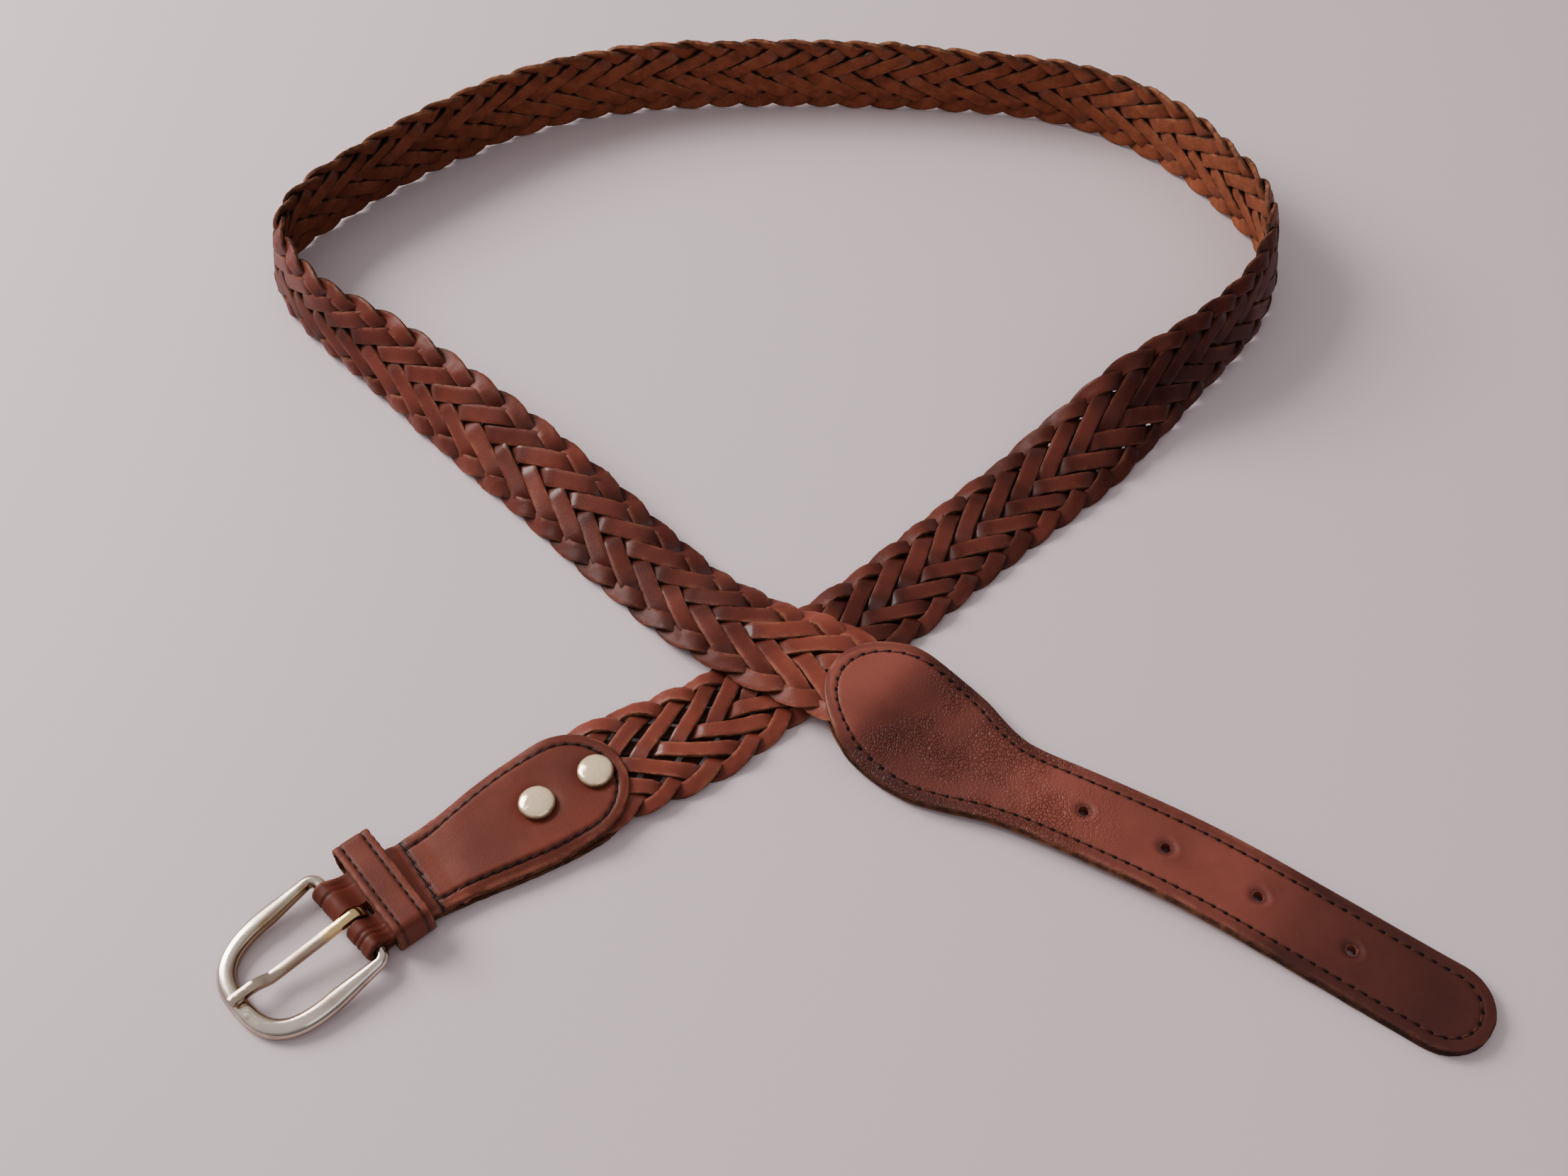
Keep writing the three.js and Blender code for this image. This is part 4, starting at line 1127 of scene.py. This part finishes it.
tipStrap = {
    "width": 24.4,
    "ovalWidth": 39,
    "ovalNose": 26,
    "nose": 12.2,
    "stitchInset": 3.4,
    "stitchPitch": 3.4,
    "grooveDepth": 0.26,
    "grooveWidth": 0.5,
    "holeRadius": 1.4,
    "holesFromEnd": (36.5, 61.7, 86.9, 109.3),
    "dotDepth": 0.15,
    "edgeRadius": 0.9,
    "edgeSag": 0.18,
    "rimDrop": 1.3,
    "dimpleDepth": 0.55,
    "lipHeight": 0.2,
    "unevenness": 0.1,
    "rimDarkening": 0.4,
    "stainChange": 0.12,
}
holeList = [belt["tip"] - d for d in tipStrap["holesFromEnd"]]
# how much darker the tip is drawn along it: painted shade on the slope past the oval's hump, and a darker
# end, partly its own tone and partly painted shade
tipStainAndShade = [
    (0, 0.12), (13, 0.12), (19, 0.45), (25, 0.72), (36, 0.58), (52, 0.4), (72, 0.14), (88, 0), (112, 0),
    (138, 0.68), (160, 0.92), (187, 0.97),
]


def tipHalf(u):
    near = u < belt["tip"] / 2
    fromEnd = u if near else belt["tip"] - u
    nose = tipStrap["ovalNose"] if near else tipStrap["nose"]
    return strapHalf(tipOutline, u / belt["tip"], tipStrap["width"], tipStrap["ovalWidth"], fromEnd, nose)


def tipSeamPath(step):
    return insetPath(tipHalf, outlineEnd, belt["tip"] - outlineEnd, tipStrap["stitchInset"], step, True)


tipStitches = tipSeamPath(tipStrap["stitchPitch"])
tipTree = treeOf(tipSeamPath(lineStep))
tipDots = treeOf(tipStitches)


def tipRelief(u, v):
    inset = min(tipHalf(u) - abs(v), u * 1.1, (belt["tip"] - u) * 1.1)
    sunk = tipTree.find((u, v, 0))[2]
    dot = tipDots.find((u, v, 0))[2]
    rise = -roundOff(inset, tipStrap["edgeRadius"]) * 0.7
    rim = smoothStep(u, 12, 22) * (1 - smoothStep(u, 36, 46))
    rim *= min(1, easeUp(tipBulge, u / belt["tip"]) * 1.4)
    rise -= tipStrap["rimDrop"] * rim * (1 - smoothStep(inset, 0.2, 4.4))
    rise -= tipStrap["edgeSag"] * (1 - smoothStep(inset, 0.4, 4.2))
    rise -= tipStrap["grooveDepth"] * bell(sunk, tipStrap["grooveWidth"])
    rise -= tipStrap["dotDepth"] * bell(dot, 0.7)
    # painted shade along the seam groove and round the stitch dots
    painted_shade = min(0.22 * bell(sunk, 0.45) + 0.5 * bell(dot, 0.6), 1)
    for place in holeList:
        away = math.hypot((u - place) * 0.9, v)
        rise -= tipStrap["dimpleDepth"] * bell(max(away - 1.2, 0), 1.3)
        rise += tipStrap["lipHeight"] * bell(away - 3.1, 0.6) * (1 if u > place else 0.2)
        # painted shade in the dimple round each punched hole
        painted_shade = max(painted_shade, 0.65 * bell(max(away - 1.5, 0), 0.6))
    rise += tipStrap["unevenness"] * ripple(u * 0.07, v * 0.1, 6.1) * smoothStep(inset, 0.5, 4)
    return rise, painted_shade, bell(inset - 0.6, 0.6)


def tipTopAt(u, v):
    rise = tipRelief(u, v)[0]
    p = planAt(tipStart + u, v)
    base = tipUnder(u, p.x, p.y) + layerStep + braidSpace * easeUp(tipBulge, u / belt["tip"])
    return metres(p.x, p.y, base + belt["leather"] + rise + seamLift)


def tipStations(fine):
    near = roundEnd(tipStrap["ovalNose"], 44)
    far = [belt["tip"] - d for d in roundEnd(tipStrap["nose"], 24)][::-1]
    plain = [blendTo(near[-1], far[0], i / 230) for i in range(1, 230)]
    stations = near + plain + far
    return stations if fine else stations[::3] + [stations[-1]]


def makeTipLayer(name, node, upper):
    rings = []
    marks = []
    for u in tipStations(upper):
        outer = []
        inner = []
        marks.append([])
        bulge = braidSpace * easeUp(tipBulge, u / belt["tip"])
        for share in shares:
            v = acrossAt(share, tipHalf(u), u if upper else u + lowerSeed["tip"])
            p = planAt(tipStart + u, v)
            under = tipUnder(u, p.x, p.y)
            inset = min((1 - abs(share)) * tipHalf(u), u, belt["tip"] - u)
            if upper:
                rise, painted_shade, edge = tipRelief(u, v)
                low = under + layerStep + bulge
                outer.append(metres(p.x, p.y, low + belt["leather"] + rise))
                inner.append(metres(p.x, p.y, low + min(rise + 0.3, 0) * smoothStep(bulge, 0, 1)))
            else:
                painted_shade, edge = 0, bell(inset, 0.8)
                outer.append(metres(p.x, p.y, under + belt["leather"]))
                inner.append(metres(p.x, p.y, max(under + roundOff(inset, 0.5) * 0.6, tableGap)))
            marks[-1].append((painted_shade, edge))
        rings.append(strapRing(outer, inner))
    width = len(shares)
    masks = strapMasks(marks, width)
    stations = tipStations(upper)
    stains = [easeUp(tipStainAndShade, u) + tipStrap["stainChange"] * ripple(u * 0.05, 2.2, 8.4) for u in stations]
    masks["stain_and_shade"] = lambda i, j: min(max(stains[i], 0)
                                      + tipStrap["rimDarkening"] * rimMark(j, tipHalf(stations[i])), 1)
    masks["pebbled"] = lambda i, j: smoothStep(stations[i], 16, 32) * (1 - smoothStep(stations[i], 62, 95))
    if not upper:
        # the grain of the lower layer faces the table
        masks["flesh"] = lambda i, j: 1 if j < width else 0
    piece = skinRings(name, rings, masks)
    cutAway(piece, [uprightDrill("hole_cutter", tipStart + place, -1, 20, tipStrap["holeRadius"])
                    for place in holeList])
    dress(piece, tipLeather, "belt", "strap", node)


makeTipLayer("tip_upper_layer", "tip_top", True)
makeTipLayer("tip_lower_layer", "tip_bottom", False)
tipSeam = {"pitch": tipStrap["stitchPitch"], "length": 0.36, "thick": 0.3, "slant": 7}
stitchRow("tip_stitches", [(tipStitches, True)], tipTopAt, tipSeam, tipThread)
stitchHoles("tip_stitch_holes", tipStitches, tipTopAt, 1.25, (38, -56))
print("tip piece made")

# keeper: a stitched band round the chape
keeper = {
    "width": 10.4,
    "thickness": 1.4,
    "innerWidth": 28.3,
    "slot": 4.2,
    "corner": 2.3,
    "shift": 1.4,
    "turn": 3.5,
    "stitchInset": 2.2,
    "stitchPitch": 2.6,
    "stitchSize": (0.95, 0.3, 0.26),
    "stitchSlant": 8,
    "stitchFromEdge": 1.5,
    "seamDepth": 0.28,
    "crown": 0.12,
    "waver": 0.12,
    "sunk": 0.1,
    "fray": 0.3,
    "stain_and_shade": 0.3,
    "columns": 26,
    "loopStep": 0.7,
}
keeperCeiling = chape["keeperLift"] + 2 * belt["leather"] + belt["gap"] + keeper["slot"]
keeperPoint, keeperAlong, keeperSide = routeAt(chape["keeperFrom"] + keeper["width"] / 2)
keeperAngle = math.radians(keeper["turn"])


def keeperSpot(x, z, u):
    x += keeper["shift"]
    turnedX = x * math.cos(keeperAngle) + u * math.sin(keeperAngle)
    turnedU = -x * math.sin(keeperAngle) + u * math.cos(keeperAngle)
    spot = keeperSide * turnedX + keeperAlong * turnedU
    return metres(keeperPoint.x + spot.x, keeperPoint.y + spot.y, z)


# points and outward directions round a rectangle with round corners
def roundedLoop(halfWidth, low, high, corner, step):
    loop = []
    right, bottom, top = halfWidth - corner, low + corner, high - corner
    corners = [(Vector((right, bottom)), -90), (Vector((right, top)), 0),
               (Vector((-right, top)), 90), (Vector((-right, bottom)), 180)]
    for i, (centre, start) in enumerate(corners):
        for k in range(7):
            angle = math.radians(start + 15 * k)
            out = Vector((math.cos(angle), math.sin(angle)))
            loop.append((centre + out * corner, out))
        nextCentre, nextStart = corners[(i + 1) % 4]
        out = Vector((math.cos(math.radians(nextStart)), math.sin(math.radians(nextStart))))
        a, b = centre + out * corner, nextCentre + out * corner
        count = max(int((b - a).length / step), 1)
        for k in range(1, count):
            loop.append((a.lerp(b, k / count), out))
    return loop


def makeKeeper():
    half = keeper["innerWidth"] / 2 + keeper["thickness"]
    top = keeperCeiling + keeper["thickness"]
    edge = keeper["width"] / 2
    rings = []
    marks = []
    loop = roundedLoop(half, tableGap, top, keeper["corner"], keeper["loopStep"])
    for number, (p, out) in enumerate(loop):
        outer = []
        inner = []
        marks.append([])
        waver = keeper["waver"] * ripple(number * 0.12, 1.7, 0.4)
        for k in range(keeper["columns"] + 1):
            u = blendTo(-edge, edge, k / keeper["columns"])
            inset = edge - abs(u)
            if k in (0, keeper["columns"]):
                u += keeper["fray"] * ripple(number * 0.45, u, 3.9) - 0.1 * math.copysign(1, u)
            rise = keeper["crown"] * (1 - (u / edge) ** 2) - roundOff(inset, 0.8) * 0.6
            rise -= keeper["seamDepth"] * bell(inset - keeper["stitchInset"], 0.38)
            upperFace = smoothStep(out.y, 0.2, 0.9)
            rise = rise * blendTo(0.35, 1, upperFace) - keeper["sunk"] + waver * upperFace
            ends = (p + out * min(rise, 0.02), p - out * keeper["thickness"])
            for ring, q in zip((outer, inner), ends):
                ring.append(keeperSpot(q.x, q.y, u))
            # painted shade along the seam grooves
            marks[-1].append((0.85 * bell(inset - keeper["stitchInset"], 0.34), bell(inset - 0.5, 0.5)))
        rings.append(strapRing(outer, inner))
    masks = strapMasks(marks, keeper["columns"] + 1)
    # the keeper is drawn a little darker all over
    masks["stain_and_shade"] = lambda i, j: keeper["stain_and_shade"]
    piece = skinRings("keeper_band", rings, masks, True)
    dress(piece, strapLeather, "belt", "strap", "keeper")
    bm = bmesh.new()
    size = Matrix.Diagonal((*[length * 0.001 for length in keeper["stitchSize"]], 1))
    turn = keeperSide.to_track_quat("X", "Z").to_matrix().to_4x4()
    turn = turn @ Matrix.Rotation(math.radians(keeper["stitchSlant"] - keeper["turn"]), 4, "Z") @ size
    reach = half - keeper["stitchFromEdge"]
    count = int(2 * reach / keeper["stitchPitch"])
    for side in (-1, 1):
        for k in range(count):
            x = blendTo(-reach, reach, (k + 0.5) / count)
            spot = keeperSpot(x, top - keeper["stitchSize"][1], side * (edge - keeper["stitchInset"]))
            bmesh.ops.create_uvsphere(bm, u_segments=8, v_segments=5, radius=1,
                                      matrix=Matrix.Translation(spot) @ turn)
    row = finishMesh("keeper_stitches", bm, 80)
    dress(row, chapeThread, "belt", "strap")


makeKeeper()
print("keeper made")

# buckle frame: a flattened rod with soft facets, and the bar that the chape folds round
buckle = {
    "rodWidth": 5,
    "rodHeight": 3.4,
    "bar": 3.4,
    "innerWidth": 25,
    "heelWidth": 30.2,
    "reach": 32.5,
    "shift": 0.8,
    "corner": 2.4,
    "taper": 9,
    "bowStart": 0.42,
    "bowPower": 2.8,
}
# section of the rod: across (outward positive) and up, as shares of its half width and height
rodSection = [
    (1.0, -0.3), (1.0, 0.02), (0.93, 0.3), (0.78, 0.6), (0.68, 0.74), (0.5, 0.88), (0.1, 0.98),
    (-0.3, 1.0), (-0.62, 0.93), (-0.82, 0.76), (-0.95, 0.42), (-1.0, -0.05), (-0.97, -0.5), (-0.8, -0.84),
    (-0.4, -1.0), (0.3, -1.0), (0.72, -0.9), (0.93, -0.65),
]
barSide = routeAt(0)[2]
rodHalfWidth = buckle["rodWidth"] / 2
rodHalfHeight = buckle["rodHeight"] / 2
barRadius = buckle["bar"] / 2
frameHalf = buckle["innerWidth"] / 2 + rodHalfWidth
frameDrop = math.asin((barHeight - rodHalfHeight) / buckle["reach"])
forward = routeAt(0)[1] * -math.cos(frameDrop) + Vector((0, 0, -math.sin(frameDrop)))
frameUp = barSide.cross(forward)
barCentre = Vector((*belt["barPlace"], barHeight))


def framePoint(reach, offset, height):
    return barCentre + forward * reach + barSide * offset + frameUp * height


def frameOutline():
    heelHalf = buckle["heelWidth"] / 2
    corner = buckle["corner"]
    straight = heelHalf - corner
    spots = [(0, blendTo(-0.99, 0.99, i / 12) * straight) for i in range(13)]
    turns = [math.pi / 2 * (i / 8) for i in range(9)]
    bend = [(corner * (1 - math.cos(a)), straight + corner * math.sin(a)) for a in turns]
    bow = []
    start = buckle["reach"] * buckle["bowStart"]
    for i in range(73):
        angle = math.pi / 2 - math.pi * i / 72
        c = abs(math.cos(angle)) ** (2 / buckle["bowPower"])
        n = math.copysign(abs(math.sin(angle)) ** (2 / buckle["bowPower"]), math.sin(angle))
        bow.append((start + (buckle["reach"] - start) * c, frameHalf * n))
    return spots + bend + bow + [(a, -b) for a, b in reversed(bend)]


def makeFrame():
    spots = frameOutline()
    middle = framePoint(buckle["reach"] / 2, buckle["shift"], 0)
    rings = []
    for i, (reach, offset) in enumerate(spots):
        before, after = spots[i - 1], spots[(i + 1) % len(spots)]
        run = (forward * (after[0] - before[0]) + barSide * (after[1] - before[1])).normalized()
        outward = run.cross(frameUp).normalized()
        centre = framePoint(reach, offset + buckle["shift"], 0)
        if (centre - middle).dot(outward) < 0:
            outward = -outward
        flattened = smoothStep(reach, buckle["corner"], buckle["taper"])
        halfWidth = blendTo(barRadius, rodHalfWidth, flattened)
        rings.append([])
        for a, b in rodSection:
            # the bar is round, so no corner of its section stands out of its circle
            size = blendTo(min(1 / math.hypot(a, b), 1), 1, flattened)
            reached = outward * (a * size * halfWidth) + frameUp * (b * size * rodHalfHeight)
            rings[-1].append((centre + reached) * 0.001)
        for point in rings[-1]:
            point.z = max(point.z, 0)
    # painted reflection: the rod's inner side is drawn dark brown and its outer edge a little, for the dark
    # reflections and shade on those facets
    masks = {"painted_shade": lambda i, j: max(0.9 * smoothStep(-rodSection[j][0], 0.25, 0.75),
                                      0.45 * smoothStep(rodSection[j][0], 0.8, 0.98))}
    piece = skinRings("buckle_rod", rings, masks, True, 70)
    dress(piece, frameNickel, "buckle_frame", "nickel", "buckle_frame")


makeFrame()
print("buckle frame made")

# prong: curls round the bar, dips, and steps up onto the bow with a square end
prong = {
    "width": 2.8, "thickness": 2, "clearance": 0.3, "overhang": 1.5, "turn": 5.5,
    "curl": (-70, -268), "curlSteps": 28, "steps": 48, "collars": (6.2, 7.6), "collarSwell": 0.07,
    "shoulder": 0.76, "shoulderSwell": 0.1, "endSize": 0.86,
}
prongShape = [
    (0.12, 0.86), (0.3, 0.72), (0.5, 0.56), (0.63, 0.46), (0.68, 0.47), (0.72, 0.62), (0.76, 0.86),
    (0.8, 0.98), (0.84, 1), (0.92, 1), (1, 1),
]
prongSection = [
    (-0.95, 0.78), (-0.7, 0.97), (0.7, 0.97), (0.95, 0.78), (1, 0.3), (1, -0.4), (0.9, -0.85), (0.6, -1),
    (-0.6, -1), (-0.9, -0.85), (-1, -0.4), (-1, 0.3),
]


def makeProng():
    lean = Matrix.Rotation(math.radians(-prong["turn"]), 3, frameUp)
    along = lean @ forward
    acrossWay = lean @ barSide
    loopRadius = barRadius + prong["clearance"] + prong["thickness"] / 2
    rest = rodHalfHeight + prong["clearance"] + prong["thickness"] / 2
    length = buckle["reach"] + prong["overhang"]
    path = []
    for i in range(prong["curlSteps"]):
        angle = math.radians(blendTo(*prong["curl"], i / prong["curlSteps"]))
        path.append((math.cos(angle) * loopRadius, math.sin(angle) * loopRadius))
    for i in range(prong["steps"] + 1):
        at = blendTo(prongShape[0][0], 1, i / prong["steps"])
        path.append((at * length, easeUp(prongShape, at) * rest))
    rings = []
    for i, (reach, height) in enumerate(path):
        before, after = path[max(i - 1, 0)], path[min(i + 1, len(path) - 1)]
        run = (along * (after[0] - before[0]) + frameUp * (after[1] - before[1])).normalized()
        upWay = run.cross(acrossWay).normalized()
        centre = framePoint(0, chape["prongShift"], height) + along * reach
        size = prong["endSize"] if i in (0, len(path) - 1) else 1
        size *= 1 + prong["collarSwell"] * sum(bell(reach - at, 0.35) for at in prong["collars"])
        swell = prong["shoulderSwell"] * bell(reach / length - prong["shoulder"], 0.08)
        wide = prong["width"] / 2 * size * (1 + swell)
        thick = prong["thickness"] / 2 * size
        rings.append([(centre + acrossWay * (a * wide) + upWay * (b * thick)) * 0.001
                      for a, b in prongSection])
    rootEnd = prong["curlSteps"] + 4
    masks = {
        # painted shade on the prong's sides past its root
        "painted_shade": lambda i, j: 0.45 if i > rootEnd and abs(prongSection[j][0]) > 0.9 else 0,
        "gilt": lambda i, j: 0.8 * (1 - smoothStep(i, rootEnd - 2, rootEnd + 5)),
    }
    piece = skinRings("prong_bar", rings, masks, False, 45)
    dress(piece, prongShadedNickel, "prong", "nickel", "prong")


makeProng()
print("prong made")

# rivets: a domed cap over the grain side, its post and the flat back
rivet = {
    "cap": 9.6, "capHeight": 2, "post": 3, "back": 7.6, "backThickness": 0.8, "brim": 0.3, "sunk": 0.35,
    "capDent": 0.09, "rimChange": 0.022, "rimDarkening": 0.75,
    "nodes": ("rivet_end", "rivet_inner"),
}


def makeRivet(number):
    place = chape["rivetPlaces"][number]
    seat = chapeUpper(place) + belt["leather"] - rivet["sunk"]
    top = chapeUpper(place) + belt["leather"] + belt["gap"]
    cap, post, back = rivet["cap"] / 2, rivet["post"] / 2, rivet["back"] / 2
    lid = rivet["backThickness"]
    profile = [(0, tableGap), (back - 0.2, tableGap), (back, 0.2), (back, lid), (post, lid + 0.05),
               (post, seat), (cap - 0.5, seat), (cap - 0.05, seat + 0.25)]
    for i in range(13):
        angle = math.pi / 2 * i / 12
        dome = rivet["brim"] + (1 - rivet["brim"]) * math.sin(angle)
        profile.append((cap * math.cos(angle) if i < 12 else 0, top + rivet["capHeight"] * dome))
    bm = bmesh.new()
    verts = [bm.verts.new(metres(r, 0, z)) for r, z in profile]
    edges = [bm.edges.new(pair) for pair in zip(verts, verts[1:])]
    bmesh.ops.spin(bm, geom=verts + edges, cent=(0, 0, 0), axis=(0, 0, 1), angle=2 * math.pi, steps=40,
                   use_merge=True)
    bmesh.ops.remove_doubles(bm, verts=bm.verts, dist=1e-6)
    bmesh.ops.recalc_face_normals(bm, faces=bm.faces)
    layer = bm.verts.layers.float.new("painted_shade")
    for vert in bm.verts:
        radius = vert.co.xy.length * 1000
        dent = ripple(vert.co.x * 900, vert.co.y * 900, number * 4)
        if vert.co.z * 1000 > top:
            vert.co.z += rivet["capDent"] * 0.001 * dent
        if radius > cap - 0.8:
            vert.co.xy *= 1 + rivet["rimChange"] * ripple(*(vert.co * 700 + Vector((number, 2, 5))))
        # painted reflection: the rim of the cap is drawn brown, for the leather that it reflects
        vert[layer] = smoothStep(radius, cap - 0.8, cap - 0.1) * rivet["rimDarkening"]
    bmesh.ops.translate(bm, verts=bm.verts, vec=spotAt(place, 0, 0))
    piece = finishMesh(rivet["nodes"][number] + "_cap", bm, 60)
    dress(piece, rivetNickel, "belt", "nickel", rivet["nodes"][number])


makeRivet(0)
makeRivet(1)
print("rivets made")
